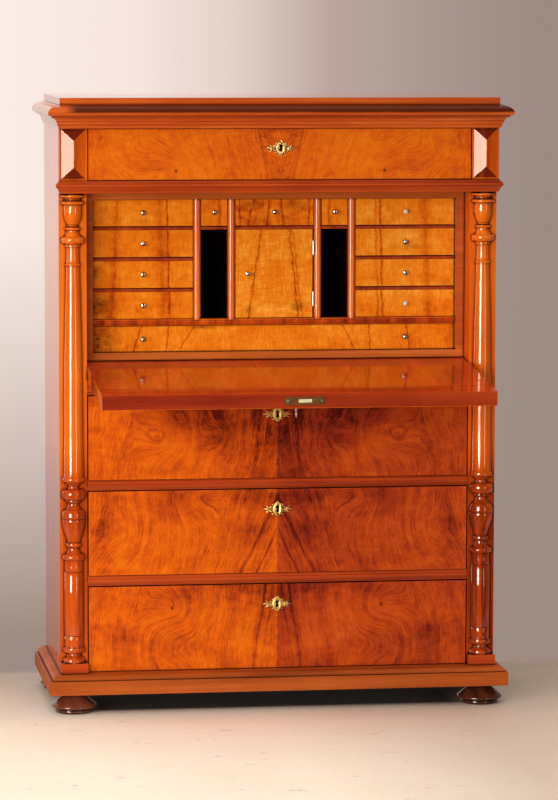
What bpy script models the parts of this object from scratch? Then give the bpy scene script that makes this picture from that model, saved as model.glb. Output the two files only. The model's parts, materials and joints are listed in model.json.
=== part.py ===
# Fall front secretaire with turned half columns, built from separate pieces.
# Sizes are in metres. X runs to the right, the front faces -Y and Z is up.
# The fall is built shut in its own frame, and its pivot frame turns it open.

import math

import bmesh
import bpy
from mathutils import Matrix, Vector

# Clearances
joint_gap = 0.0003
slide_gap = 0.0003
cut_overrun = 0.004
bond_depth = 0.003
merge_distance = 0.00001

# Case
case_width = 1.078
case_depth = 0.413
post_width = 0.0675
post_depth = 0.080
side_thickness = 0.022
back_thickness = 0.012

# Feet, plinth and base, from the floor up
foot_height = 0.0485
foot_radius = 0.0556
foot_front_inset = 0.0535
foot_back_inset = 0.073
plinth_height = 0.034
plinth_overhang = 0.029
plinth_front_overhang = 0.0505
plinth_side_width = 0.098
plinth_front_width = 0.080
base_thickness = 0.015
base_ledge = 0.0025
base_front_overhang = 0.0285
base_moulding = 0.0185
base_fillet = 0.0025

# Large drawers, lowest first
large_drawer_heights = (0.208, 0.2065, 0.2055)
large_foot_gap = 0.001
large_head_gap = 0.0025
large_side_gap = 0.003
large_front_thickness = 0.022
large_front_proud = 0.0015
large_wall = 0.011
large_bottom = 0.008
large_back_gap = 0.0293
large_box_gap = 0.0095
large_wall_drop = 0.012
drawer_rail_height = 0.025
drawer_rail_projection = 0.004
drawer_rail_depth = 0.060
runner_width = 0.092
rail_setback = 0.001

# Keyholes and their locks
keyhole_drop = 0.046
key_shank_radius = 0.0026
key_bit_reach = 0.0075
key_bit_thickness = 0.0024
key_clearance = 0.0006
key_bit_clearance = 0.0005
key_slot_clearance = 0.002

# Rail under the fall
fall_rail_height = 0.0355
rail_bead_height = 0.006
rail_bead_projection = 0.003
rail_upper_bead_rise = 0.016
riser_thickness = 0.040
swing_gap = 0.0006

# Fall and its pivots
opening_height = 0.4565
fall_thickness = 0.035
fall_side_gap = 0.001
fall_foot_gap = 0.002
fall_head_gap = 0.0015
pivot_inset = 0.008
pivot_height = 0.0308
pivot_depth = 0.0505
fall_open_degrees = 95.6
fall_rest_gap = 0.0007
iron_thickness = 0.003
iron_width = 0.014
iron_tail = 0.010
iron_reach = 0.065
pin_radius = 0.0045
pin_length = 0.020
pin_clearance = 0.0003

# Fall lock
lock_offset = 0.0085
lock_plate_width = 0.097
lock_plate_thickness = 0.0025
lock_plate_depth = 0.0194
lock_case_width = 0.078
lock_case_height = 0.056
lock_case_depth = 0.012
strike_clearance = 0.0012
bolt_offset = 0.0013
bolt_width = 0.031
bolt_depth = 0.008
bolt_length = 0.027
bolt_travel = 0.010
bolt_clearance = 0.0004
key_offset = -0.0145
key_drop = 0.0385
key_chamber_clearance = 0.0013
key_chamber_floor = 0.003
key_bit_width = 0.0055
key_shoulder = 0.0145
key_bow_radius = 0.0078
key_bow_wire = 0.0019
key_bit_gap = 0.0006

# Nest of small drawers
nest_side = 0.0205
nest_top = 0.019
nest_base = 0.0175
nest_back_gap = 0.002
drawer_recess = 0.0233
centre_width = 0.195
slot_width = 0.066
upright_thickness = 0.019
shelf_thickness = 0.0085
wide_drawer_opening = 0.064
divider_thickness = 0.0170
nest_rows = 4
bead_half_width = 0.0082
bead_projection = 0.0065

# Small drawers and cupboard door
small_front_gap = 0.0008
small_front_thickness = 0.009
small_wall = 0.006
small_bottom = 0.005
small_back_gap = 0.0165
small_box_gap = 0.0014
small_wall_drop = 0.004
door_thickness = 0.012
door_gap = 0.001
door_hinge_gap = 0.0028
hinge_radius = 0.0021
hinge_length = 0.034
hinge_leaf_thickness = 0.0012
hinge_leaf_depth = 0.012
hinge_inset = 0.029
hinge_clearance = 0.0003
door_knob_inset = 0.029

# Knobs
knob_radius = 0.0062
knob_length = 0.0145

# Frieze, cornice and top
frieze_rail_height = 0.030
frieze_rail_projection = 0.0095
frieze_projection = 0.028
frieze_height = 0.1265
frieze_foot_gap = 0.0015
frieze_head_gap = 0.0015
frieze_side_gap = 0.0025
frieze_back_gap = 0.0288
panel_margin = 0.007
panel_top_margin = 0.0025
panel_rise = 0.0115
top_overhang = 0.010
cornice_height = 0.057
cornice_projection = 0.030
cornice_rail_depth = 0.030
top_thickness = 0.0165

# Columns
column_radius = 0.0296
column_block_height = 0.0248
strike_depth = 0.014

# Outline shares, chosen by hand from the photograph
# A turned outline is (share of radius, share of height), top to bottom.
column_shares = (
    (0.710, 1.0000), (0.710, 0.9987), (0.895, 0.9975), (0.980, 0.9945),
    (0.895, 0.9915), (0.675, 0.9905), (0.625, 0.9875), (0.690, 0.9855),
    (0.625, 0.9835), (0.880, 0.9825), (0.973, 0.9797), (0.880, 0.9770),
    (0.720, 0.9762), (0.726, 0.9605), (0.693, 0.9488), (0.591, 0.9405),
    (0.490, 0.9350), (0.422, 0.9332), (0.473, 0.9306), (0.422, 0.9284),
    (0.625, 0.9274), (0.676, 0.9255), (0.625, 0.9234), (0.490, 0.9220),
    (0.524, 0.9163), (0.642, 0.9089), (0.895, 0.9068), (0.980, 0.9016),
    (0.895, 0.8954), (0.625, 0.8937), (0.608, 0.8877), (0.517, 0.8870),
    (0.541, 0.8526), (0.625, 0.8517), (0.652, 0.8494), (0.625, 0.8471),
    (0.551, 0.8462), (0.720, 0.6593), (0.804, 0.4003), (0.878, 0.3987),
    (0.932, 0.3937), (0.861, 0.3900), (0.676, 0.3891), (0.659, 0.3851),
    (0.456, 0.3838), (0.473, 0.3742), (0.811, 0.3725), (0.963, 0.3682),
    (1.000, 0.3622), (0.946, 0.3560), (0.777, 0.3523), (0.635, 0.3514),
    (0.635, 0.3470), (0.456, 0.3450), (0.490, 0.3376), (0.625, 0.3316),
    (0.811, 0.3289), (0.932, 0.3228), (0.966, 0.3115), (0.919, 0.3106),
    (0.966, 0.3093), (0.912, 0.2958), (0.726, 0.2784), (0.541, 0.2599),
    (0.642, 0.2589), (0.669, 0.2551), (0.642, 0.2515), (0.456, 0.2505),
    (0.490, 0.2426), (0.608, 0.2369), (0.811, 0.2347), (0.932, 0.2312),
    (0.895, 0.2247), (0.770, 0.2238), (0.770, 0.1986), (0.736, 0.1977),
    (0.787, 0.1967), (0.787, 0.0622), (0.750, 0.0613), (0.787, 0.0600),
    (0.787, 0.0359), (0.878, 0.0351), (0.905, 0.0303), (0.861, 0.0260),
    (0.557, 0.0246), (0.551, 0.0177), (0.709, 0.0142), (0.861, 0.0116),
    (0.905, 0.0064), (0.861, 0.0013), (0.760, 0.0000))
foot_shares = (
    (0.490, 1.000), (0.500, 0.910), (0.545, 0.830), (0.960, 0.425),
    (1.000, 0.350), (0.980, 0.280), (0.850, 0.240), (0.780, 0.210),
    (0.818, 0.150), (0.818, 0.045), (0.780, 0.000))
knob_shares = (
    (0.450, 1.000), (0.850, 0.900), (1.000, 0.720), (0.860, 0.580),
    (0.460, 0.480), (0.440, 0.180), (0.740, 0.100), (0.740, 0.000))
# A moulding outline is (share of height, share of projection), bottom to top.
cornice_shares = (
    (0.00, 0.085), (0.085, 0.115), (0.13, 0.165), (0.26, 0.245),
    (0.36, 0.370), (0.425, 0.500), (0.455, 0.690), (0.525, 0.720),
    (0.545, 0.910), (0.620, 0.985), (0.690, 0.995), (0.765, 0.930),
    (0.840, 0.790), (0.910, 0.570), (0.965, 0.300), (1.00, 0.080))
frieze_rail_shares = (
    (0.00, 0.10), (0.13, 0.15), (0.28, 0.34), (0.42, 0.66),
    (0.50, 0.95), (0.60, 1.00), (0.72, 0.93), (0.82, 0.66),
    (0.88, 0.34), (1.00, 0.26))
drawer_rail_shares = (
    (0.00, 0.35), (0.03, 0.58), (0.07, 0.58), (0.10, 0.15),
    (0.20, 0.00), (0.30, 0.10), (0.38, 0.52), (0.48, 0.86),
    (0.60, 1.00), (0.74, 0.96), (0.88, 0.72), (1.00, 0.35))
ridge_share = 0.545
turn_steps = 24
small_turn_steps = 12
arc_steps = 10

# Places worked out from the sizes
case_half = case_width / 2
opening_half = case_half - post_width
panel_half = case_half - side_thickness
post_centre = case_half - post_width / 2

plinth_level = foot_height
base_level = plinth_level + plinth_height
floor_level = base_level + base_thickness
drawer_levels = []
level = floor_level
for height in large_drawer_heights:
    drawer_levels.append((level, level + height + large_foot_gap + large_head_gap))
    level = drawer_levels[-1][1] + drawer_rail_height
fall_rail_level = drawer_levels[-1][1]
desk_level = fall_rail_level + fall_rail_height
frieze_rail_level = desk_level + opening_height
frieze_level = frieze_rail_level + frieze_rail_height
cornice_level = frieze_level + frieze_height
top_level = cornice_level + cornice_height

fall_angle = math.radians(fall_open_degrees)
fall_bottom = -pivot_height
pivot_level = desk_level + fall_foot_gap + pivot_height
fall_top = frieze_rail_level - fall_head_gap - pivot_level
fall_inner = pivot_inset
fall_outer = pivot_inset - fall_thickness
fall_half = opening_half - fall_side_gap
fall_reach = fall_top * math.sin(fall_angle) - fall_inner * math.cos(fall_angle) - pivot_depth

# The origin is the middle of the box round the open piece, on the floor.
front = -(case_depth - fall_reach) / 2
back = front + case_depth
inner_back = back - back_thickness

tail_rise = fall_inner * math.sin(fall_angle) - pivot_height * math.cos(fall_angle)
nest_level = pivot_level + tail_rise + joint_gap
nest_front = front + pivot_depth + fall_inner + fall_rest_gap
nest_half = opening_half - 2 * joint_gap
nest_inner_half = nest_half - nest_side
nest_floor = nest_level + nest_base
nest_ceiling = frieze_rail_level - joint_gap - nest_top
nest_back = inner_back - nest_back_gap
divider_level = nest_floor + wide_drawer_opening
rows_level = divider_level + divider_thickness
drawer_plane = nest_front + drawer_recess
row_opening = (nest_ceiling - rows_level - (nest_rows - 1) * shelf_thickness) / nest_rows
inner_upright = centre_width / 2
slot_start = inner_upright + upright_thickness
slot_end = slot_start + slot_width
stack_start = slot_end + upright_thickness
stack_middle = (stack_start + nest_inner_half) / 2

keyhole_radius = key_shank_radius + key_clearance
keyhole_slot_width = key_bit_thickness + 2 * key_bit_clearance
keyhole_slot_length = key_bit_reach + key_slot_clearance
key_chamber_radius = key_bit_reach + key_chamber_clearance

pieces = bpy.data.collections.new("fall_front_secretaire")
cutters = bpy.data.collections.new("cutters")


def clear_scene():
    for item in list(bpy.data.objects):
        bpy.data.objects.remove(item, do_unlink=True)
    bpy.context.scene.collection.children.link(pieces)
    bpy.context.scene.collection.children.link(cutters)


def material(name, colour, roughness, metallic=0.0):
    made = bpy.data.materials.new(name)
    made.use_nodes = True
    shader = made.node_tree.nodes["Principled BSDF"]
    shader.inputs["Base Color"].default_value = (*colour, 1.0)
    shader.inputs["Roughness"].default_value = roughness
    shader.inputs["Metallic"].default_value = metallic
    made.diffuse_color = (*colour, 1.0)
    return made


def place(name, data, finish, parent, cutter):
    """Make an object of mesh or curve data, as a piece or as a hidden cutter."""
    made = bpy.data.objects.new(name, data)
    made.parent = parent
    if cutter:
        cutters.objects.link(made)
        made.hide_render = True
        made.display_type = "WIRE"
    else:
        pieces.objects.link(made)
        data.materials.append(finish)
    return made


def frame_at(name, location, tilt=0.0):
    """An empty that carries one moving group, on its joint's axis."""
    made = bpy.data.objects.new(name, None)
    made.location = location
    made.rotation_euler = (tilt, 0.0, 0.0)
    pieces.objects.link(made)
    return made


def box(name, low, high, finish=None, parent=None, cutter=False):
    mesh = bpy.data.meshes.new(name)
    shape = bmesh.new()
    bmesh.ops.create_cube(shape, size=1.0)
    bmesh.ops.scale(shape, vec=Vector(high) - Vector(low), verts=shape.verts)
    shape.to_mesh(mesh)
    shape.free()
    made = place(name, mesh, finish, parent, cutter)
    made.location = (Vector(high) + Vector(low)) / 2
    return made


def boxes(name, corners, parent=None):
    """One cutter made of several boxes that stand apart."""
    mesh = bpy.data.meshes.new(name)
    shape = bmesh.new()
    for low, high in corners:
        cube = bmesh.ops.create_cube(shape, size=1.0)["verts"]
        bmesh.ops.scale(shape, vec=Vector(high) - Vector(low), verts=cube)
        bmesh.ops.translate(shape, vec=(Vector(high) + Vector(low)) / 2, verts=cube)
    shape.to_mesh(mesh)
    shape.free()
    return place(name, mesh, None, parent, True)


def rod(name, radius, start, end, axis, finish=None, parent=None, cutter=False,
        steps=small_turn_steps, squash=None):
    """Cylinder along X, Y or Z between two points."""
    mesh = bpy.data.meshes.new(name)
    shape = bmesh.new()
    length = (Vector(end) - Vector(start)).length
    bmesh.ops.create_cone(shape, cap_ends=True, segments=steps, radius1=radius,
                          radius2=radius, depth=length)
    turns = {"X": Matrix.Rotation(math.pi / 2, 3, "Y"),
             "Y": Matrix.Rotation(math.pi / 2, 3, "X"),
             "Z": Matrix.Identity(3)}
    bmesh.ops.rotate(shape, cent=(0.0, 0.0, 0.0), matrix=turns[axis], verts=shape.verts)
    if squash:
        bmesh.ops.scale(shape, vec=squash, verts=shape.verts)
    shape.to_mesh(mesh)
    shape.free()
    made = place(name, mesh, finish, parent, cutter)
    made.location = (Vector(start) + Vector(end)) / 2
    return made


def combine(piece, tool, operation):
    change = piece.modifiers.new(tool.name, "BOOLEAN")
    change.operation = operation
    change.solver = "EXACT"
    change.object = tool


def cut(piece, tool):
    combine(piece, tool, "DIFFERENCE")


def join(piece, tool):
    combine(piece, tool, "UNION")


def turned(name, shares, radius, height, finish=None, parent=None, cutter=False,
           steps=turn_steps):
    """Solid turned from an outline of shares, standing on its own origin."""
    outline = [(0.0, 0.0, shares[0][1] * height)]
    outline += [(share * radius, 0.0, rise * height) for share, rise in shares]
    outline.append((0.0, 0.0, shares[-1][1] * height))
    mesh = bpy.data.meshes.new(name)
    mesh.from_pydata(outline, [(i, i + 1) for i in range(len(outline) - 1)], [])
    made = place(name, mesh, finish, parent, cutter)
    screw = made.modifiers.new("Turn", "SCREW")
    screw.steps = steps
    screw.render_steps = steps
    screw.use_merge_vertices = True
    screw.merge_threshold = merge_distance
    screw.use_smooth_shade = True
    return made


def raised_face(shape, face):
    """Extrude one face, and give back the new face at its end."""
    grown = bmesh.ops.extrude_face_region(shape, geom=[face, *face.edges])["geom"]
    return next(item for item in grown if isinstance(item, bmesh.types.BMFace))


def moulded(name, plan, profile, finish):
    """Plan outline raised step by step, with its free edges shifted outward.

    A plan corner is (x, y, outward x, outward y) and a profile step is
    (height, shift), from the bottom up."""
    mesh = bpy.data.meshes.new(name)
    shape = bmesh.new()
    mark = shape.verts.layers.int.new("corner")
    first_height, first_shift = profile[0]
    ring = []
    for index, (x, y, out_x, out_y) in enumerate(plan):
        corner = shape.verts.new((x + out_x * first_shift, y + out_y * first_shift,
                                  first_height))
        corner[mark] = index
        ring.append(corner)
    face = shape.faces.new(ring)
    for height, shift in profile[1:]:
        face = raised_face(shape, face)
        for corner in face.verts:
            x, y, out_x, out_y = plan[corner[mark]]
            corner.co = (x + out_x * shift, y + out_y * shift, height)
    bmesh.ops.recalc_face_normals(shape, faces=shape.faces)
    shape.to_mesh(mesh)
    shape.free()
    return place(name, mesh, finish, None, False)


def flat(name, points, thickness, finish, location, rotation=(0.0, 0.0, 0.0)):
    """Flat outline with a thickness, centred on its own plane."""
    curve = bpy.data.curves.new(name, "CURVE")
    curve.dimensions = "2D"
    curve.fill_mode = "BOTH"
    curve.extrude = thickness / 2
    line = curve.splines.new("POLY")
    line.points.add(len(points) - 1)
    for point, (across, along) in zip(line.points, points):
        point.co = (across, along, 0.0, 1.0)
    line.use_cyclic_u = True
    made = place(name, curve, finish, None, False)
    made.location = location
    made.rotation_euler = rotation
    return made


def arc(centre, radius, start, end, steps):
    """Points round part of a circle, in radians."""
    points = []
    for step in range(steps + 1):
        angle = start + (end - start) * step / steps
        points.append((centre[0] + radius * math.cos(angle),
                       centre[1] + radius * math.sin(angle)))
    return points


def both_sides(points):
    """The outline's right half, given outward and back, with its mirror image."""
    return list(points) + [(-x, y, -out_x, out_y) for x, y, out_x, out_y in reversed(points)]


def build_feet(finish):
    places = (("foot_front_left", -post_centre, front - plinth_front_overhang + foot_front_inset),
              ("foot_front_right", post_centre, front - plinth_front_overhang + foot_front_inset),
              ("foot_rear_left", -post_centre, back - foot_back_inset),
              ("foot_rear_right", post_centre, back - foot_back_inset))
    for name, x, y in places:
        foot = turned(name, foot_shares, foot_radius, foot_height - joint_gap, finish)
        foot.location = (x, y, 0.0)


def build_plinth(finish):
    outer = case_half + plinth_overhang
    inner = outer - plinth_side_width
    face = front - plinth_front_overhang
    half_plan = ((inner, face + plinth_front_width, 0.0, 0.0), (inner, back, 0.0, 0.0),
                 (outer, back, 0.0, 0.0), (outer, face, 0.0, 0.0))
    moulded("plinth", both_sides(half_plan),
            ((plinth_level, 0.0), (base_level - joint_gap, 0.0)), finish)


def build_base(finish):
    half = case_half + base_ledge
    half_plan = ((half, back, 1.0, 0.0), (half, front - base_front_overhang, 1.0, -1.0))
    top = floor_level - joint_gap
    curve_height = top - base_level - base_fillet
    profile = [(base_level, base_moulding), (base_level + base_fillet, base_moulding)]
    for step in range(1, arc_steps // 2 + 1):
        angle = math.pi / 2 * step / (arc_steps // 2)
        profile.append((base_level + base_fillet + curve_height * math.sin(angle),
                        base_moulding * math.cos(angle)))
    moulded("base_board", both_sides(half_plan), profile, finish)


def build_sides(finish):
    pivot_bore = pin_length - fall_side_gap + pin_clearance
    for name, side in (("side_left", -1), ("side_right", 1)):
        plan = ((side * opening_half, front, 0.0, 0.0),
                (side * case_half, front, 0.0, 0.0),
                (side * case_half, back, 0.0, 0.0),
                (side * panel_half, back, 0.0, 0.0),
                (side * panel_half, front + post_depth, 0.0, 0.0),
                (side * opening_half, front + post_depth, 0.0, 0.0))
        panel = moulded(name, plan, ((floor_level, 0.0), (top_level - joint_gap, 0.0)), finish)
        y = front + pivot_depth
        bore = rod(name + "_bore", pin_radius + pin_clearance,
                   (side * (opening_half - cut_overrun), y, pivot_level),
                   (side * (opening_half + pivot_bore), y, pivot_level), "X", cutter=True)
        cut(panel, bore)


def build_back(finish):
    half = panel_half - joint_gap
    box("back_panel", (-half, inner_back, floor_level), (half, back, top_level - joint_gap),
        finish)


def build_top(finish):
    box("top_board", (-case_half, front - frieze_projection - top_overhang, top_level),
        (case_half, back, top_level + top_thickness), finish)


def build_cornice(finish):
    outer = case_half + joint_gap
    face = front - frieze_projection - top_overhang
    inner_face = front + cornice_rail_depth
    rail_half = opening_half - joint_gap
    half_plan = ((rail_half, inner_face, 0.0, 0.0), (rail_half, front - joint_gap, 0.0, 0.0),
                 (outer, front - joint_gap, 0.0, 0.0), (outer, back, 0.0, 0.0),
                 (outer, back, 1.0, 0.0), (outer, face, 1.0, -1.0))
    profile = [(cornice_level + rise * (cornice_height - joint_gap), out * cornice_projection)
               for rise, out in cornice_shares]
    moulded("cornice", both_sides(half_plan), profile, finish)


def build_frieze_rail(finish):
    outer = case_half
    face = front - frieze_projection
    board_half = opening_half - joint_gap
    half_plan = ((board_half, inner_back - joint_gap, 0.0, 0.0),
                 (board_half, front - joint_gap, 0.0, 0.0),
                 (outer, front - joint_gap, 1.0, 0.0), (outer, face, 1.0, -1.0))
    height = frieze_rail_height - joint_gap
    profile = [(frieze_rail_level + rise * height, out * frieze_rail_projection)
               for rise, out in frieze_rail_shares]
    rail = moulded("frieze_rail", both_sides(half_plan), profile, finish)
    middle = lock_offset + bolt_offset
    y = front + pivot_depth + (fall_inner + fall_outer) / 2
    half_width = bolt_width / 2 + strike_clearance
    half_depth = bolt_depth / 2 + strike_clearance
    strike = box("frieze_rail_strike",
                 (middle - half_width, y - half_depth, frieze_rail_level - cut_overrun),
                 (middle + half_width, y + half_depth, frieze_rail_level + strike_depth),
                 cutter=True)
    cut(rail, strike)


def build_corner_blocks(finish):
    """Frieze blocks with a raised panel that rises to an upright ridge."""
    low_z = frieze_level
    high_z = cornice_level - joint_gap
    for name, side in (("corner_block_left", -1), ("corner_block_right", 1)):
        mesh = bpy.data.meshes.new(name)
        shape = bmesh.new()
        bmesh.ops.create_cube(shape, size=1.0)
        size = (post_width, frieze_projection - joint_gap, high_z - low_z)
        bmesh.ops.scale(shape, vec=size, verts=shape.verts)
        face = min(shape.faces, key=lambda item: item.calc_center_median().y)
        bmesh.ops.inset_region(shape, faces=[face], thickness=panel_margin)
        for corner in face.verts:
            if corner.co.z > 0.0:
                corner.co.z = size[2] / 2 - panel_top_margin
        ridge = list(raised_face(shape, face).verts)
        middle = sum(corner.co.z for corner in ridge) / len(ridge)
        for corner in ridge:
            corner.co.x = 0.0
            corner.co.y -= panel_rise
            corner.co.z = middle + (corner.co.z - middle) * ridge_share
        bmesh.ops.remove_doubles(shape, verts=shape.verts, dist=merge_distance)
        bmesh.ops.recalc_face_normals(shape, faces=shape.faces)
        shape.to_mesh(mesh)
        shape.free()
        block = place(name, mesh, finish, None, False)
        block.location = (side * post_centre, front - (frieze_projection + joint_gap) / 2,
                          (low_z + high_z) / 2)


def build_columns(finish):
    """Split turnings on the posts, each with its square base block."""
    block_top = floor_level + column_block_height
    height = frieze_rail_level - joint_gap - block_top + bond_depth
    for name, side in (("column_left", -1), ("column_right", 1)):
        x = side * post_centre
        block = box(name, (x - post_width / 2, front - frieze_projection, floor_level),
                    (x + post_width / 2, front - joint_gap, block_top), finish)
        shaft = turned(name + "_shaft", column_shares, column_radius, height, cutter=True)
        shaft.location = (x, front, block_top - bond_depth)
        rear = box(name + "_rear", (x - post_width, front - joint_gap, floor_level),
                   (x + post_width, front + post_width, frieze_rail_level + cut_overrun),
                   cutter=True)
        join(block, shaft)
        cut(block, rear)


def build_drawer_rails(finish):
    rail_half = opening_half - joint_gap
    runner_out = panel_half - joint_gap
    runner_in = runner_out - runner_width
    face = front + rail_setback
    rail_back = front + drawer_rail_depth
    post_back = front + post_depth + joint_gap
    end = inner_back - joint_gap
    half_plan = ((rail_half, face, 0.0, -1.0), (rail_half, post_back, 0.0, 0.0),
                 (runner_out, post_back, 0.0, 0.0), (runner_out, end, 0.0, 0.0),
                 (runner_in, end, 0.0, 0.0), (runner_in, rail_back, 0.0, 0.0))
    height = drawer_rail_height - joint_gap
    names = ("drawer_rail_lower", "drawer_rail_upper")
    for name, (low, high) in zip(names, drawer_levels):
        profile = [(high + joint_gap + rise * height, out * drawer_rail_projection)
                   for rise, out in drawer_rail_shares]
        moulded(name, both_sides(half_plan), profile, finish)


def build_fall_rail(finish):
    """Rail under the fall, hollowed for the fall's tail, with a riser for the nest."""
    sweep = math.hypot(fall_outer, pivot_height) + swing_gap
    pivot = (front + pivot_depth, pivot_level)
    drop = pivot_level - desk_level
    reach = math.asin(drop / sweep)
    swing_end = pivot[0] + sweep
    face = front + rail_setback
    bottom = fall_rail_level + joint_gap
    bead = rail_bead_height / 2
    lower_bead = arc((face, bottom + bead), bead, math.pi * 3 / 2, math.pi / 2, 4)
    upper_centre = fall_rail_level + rail_upper_bead_rise + bead
    upper_bead = arc((face, upper_centre), bead, math.pi * 3 / 2, math.pi / 2, 4)
    hollow = arc(pivot, sweep, math.pi + reach, math.pi * 2 - reach, arc_steps)
    outline = lower_bead + upper_bead + [(face, desk_level)] + hollow
    outline += [(swing_end, desk_level), (swing_end, nest_level - joint_gap),
                (swing_end + riser_thickness, nest_level - joint_gap),
                (swing_end + riser_thickness, bottom)]
    width = 2 * (opening_half - joint_gap)
    flat("fall_rail", outline, width, finish, (0.0, 0.0, 0.0),
         (math.pi / 2, 0.0, math.pi / 2))


def build_nest(finish, inner_finish):
    shell = box("nest_case", (-nest_half, nest_front, nest_level),
                (nest_half, nest_back, frieze_rail_level - joint_gap), finish)
    hollow = box("nest_case_hollow",
                 (-nest_inner_half, nest_front - cut_overrun, nest_floor),
                 (nest_inner_half, nest_back + cut_overrun, nest_ceiling), cutter=True)
    cut(shell, hollow)

    half = nest_inner_half - joint_gap
    top = nest_ceiling - joint_gap
    grid = box("nest_dividers", (-half, drawer_plane, divider_level), (half, nest_back, top),
               inner_finish)
    for index, x in enumerate((-stack_start, -slot_start, slot_start, stack_start)):
        centre = x + math.copysign(upright_thickness / 2, -x)
        bead = rod("nest_bead_%d" % index, bead_half_width,
                   (centre, drawer_plane, rows_level - bond_depth), (centre, drawer_plane, top),
                   "Z", cutter=True, squash=(1.0, bead_projection / bead_half_width, 1.0))
        join(grid, bead)
    middle = (divider_level + rows_level) / 2
    bead = rod("nest_bead_cross", bead_half_width, (-half, drawer_plane, middle),
               (half, drawer_plane, middle), "X", cutter=True,
               squash=(1.0, bead_projection / bead_half_width, 1.0))
    join(grid, bead)

    near = drawer_plane - bead_projection - cut_overrun
    far = nest_back + cut_overrun
    cells = []
    for row in range(nest_rows):
        low, high = row_levels(row)
        high = high + cut_overrun if row == 0 else high
        for side in (-1, 1):
            ends = sorted((side * stack_start, side * (half + cut_overrun)))
            cells.append(((ends[0], near, low), (ends[1], far, high)))
    shelf_row = row_levels(0)
    for x_low, x_high in ((-slot_end, -slot_start), (slot_start, slot_end),
                          (-inner_upright, inner_upright)):
        cells.append(((x_low, near, shelf_row[0]), (x_high, far, shelf_row[1] + cut_overrun)))
        cells.append(((x_low, near, rows_level), (x_high, far, row_levels(1)[1])))
    cut(grid, boxes("nest_cells", cells))


def row_levels(row):
    """Bottom and top of a row of small drawers, counted from the top."""
    high = nest_ceiling - row * (row_opening + shelf_thickness)
    return high - row_opening, high


def build_drawer(name, opening, face, sizes, finish, keyhole=False):
    """Drawer with its front and box in one piece, on its own slide frame.

    The opening is (low x, high x, low z, high z). Sizes name the gaps and walls."""
    x_low, x_high, z_low, z_high = opening
    frame = frame_at(name + "_slide", ((x_low + x_high) / 2, face, z_low))
    half = (x_high - x_low) / 2
    height = z_high - z_low
    front_half = half - sizes["side_gap"]
    box_half = half - sizes["box_gap"]
    thick = sizes["front_thickness"]
    front_top = height - sizes["head_gap"]
    length = sizes["end"] - face
    drawer = box(name, (-front_half, 0.0, sizes["foot_gap"]), (front_half, thick, front_top),
                 finish, frame)
    body = box(name + "_body", (-box_half, thick - bond_depth, slide_gap),
               (box_half, length, front_top - sizes["wall_drop"]), parent=frame,
               cutter=True)
    wall = sizes["wall"]
    pocket = box(name + "_pocket", (-box_half + wall, thick, slide_gap + sizes["bottom"]),
                 (box_half - wall, length - wall, height + cut_overrun),
                 parent=frame, cutter=True)
    join(drawer, body)
    cut(drawer, pocket)
    if keyhole:
        level = front_top - keyhole_drop
        round_hole = rod(name + "_keyhole", keyhole_radius, (0.0, -cut_overrun, level),
                         (0.0, thick + cut_overrun, level), "Y", parent=frame, cutter=True)
        slot = box(name + "_slot",
                   (-keyhole_slot_width / 2, -cut_overrun, level - keyhole_slot_length),
                   (keyhole_slot_width / 2, thick + cut_overrun, level), parent=frame,
                   cutter=True)
        cut(drawer, round_hole)
        cut(drawer, slot)
    return frame


def build_knob(name, parent, x, z, finish, seat=0.0):
    """Turned knob standing out of a front, toward -Y."""
    knob = turned(name, knob_shares, knob_radius, knob_length, finish, parent,
                  steps=small_turn_steps)
    knob.location = (x, seat - joint_gap, z)
    knob.rotation_euler = (math.pi / 2, 0.0, 0.0)


def build_large_drawers(finish):
    sizes = {"side_gap": large_side_gap, "foot_gap": large_foot_gap,
             "head_gap": large_head_gap, "box_gap": large_box_gap,
             "front_thickness": large_front_thickness, "wall": large_wall,
             "bottom": large_bottom,
             "end": inner_back - large_back_gap, "wall_drop": large_wall_drop}
    names = ("large_drawer_bottom", "large_drawer_middle", "large_drawer_top")
    for name, (low, high) in zip(names, drawer_levels):
        build_drawer(name, (-opening_half, opening_half, low, high),
                     front - large_front_proud, sizes, finish, keyhole=True)
    sizes.update({"side_gap": frieze_side_gap, "foot_gap": frieze_foot_gap,
                  "head_gap": frieze_head_gap, "end": inner_back - frieze_back_gap})
    build_drawer("frieze_drawer", (-opening_half, opening_half, frieze_level, cornice_level),
                 front - frieze_projection + large_front_proud, sizes, finish, keyhole=True)


def build_small_drawers(finish, white, ivory):
    sizes = {"side_gap": small_front_gap, "foot_gap": small_front_gap,
             "head_gap": small_front_gap, "box_gap": small_box_gap,
             "front_thickness": small_front_thickness,
             "wall": small_wall, "bottom": small_bottom,
             "end": nest_back - small_back_gap, "wall_drop": small_wall_drop}
    openings = []
    for row in range(nest_rows):
        levels = row_levels(row)
        openings.append(("left_drawer_%d" % (row + 1), -nest_inner_half, -stack_start, levels))
        openings.append(("right_drawer_%d" % (row + 1), stack_start, nest_inner_half, levels))
    top_row = row_levels(0)
    openings.append(("small_drawer_left", -slot_end, -slot_start, top_row))
    openings.append(("small_drawer_right", slot_start, slot_end, top_row))
    openings.append(("centre_drawer", -inner_upright, inner_upright, top_row))
    pale = ("right_drawer_1", "right_drawer_4")
    for name, x_low, x_high, (z_low, z_high) in openings:
        frame = build_drawer(name, (x_low, x_high, z_low, z_high), drawer_plane, sizes, finish)
        build_knob(name + "_knob", frame, 0.0, (z_high - z_low) / 2,
                   ivory if name in pale else white)
    wide = build_drawer("wide_drawer",
                        (-nest_inner_half, nest_inner_half, nest_floor, divider_level),
                        drawer_plane, sizes, finish)
    for name, x in (("wide_drawer_knob_left", -stack_middle),
                    ("wide_drawer_knob_right", stack_middle)):
        build_knob(name, wide, x, wide_drawer_opening / 2, white)


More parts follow.
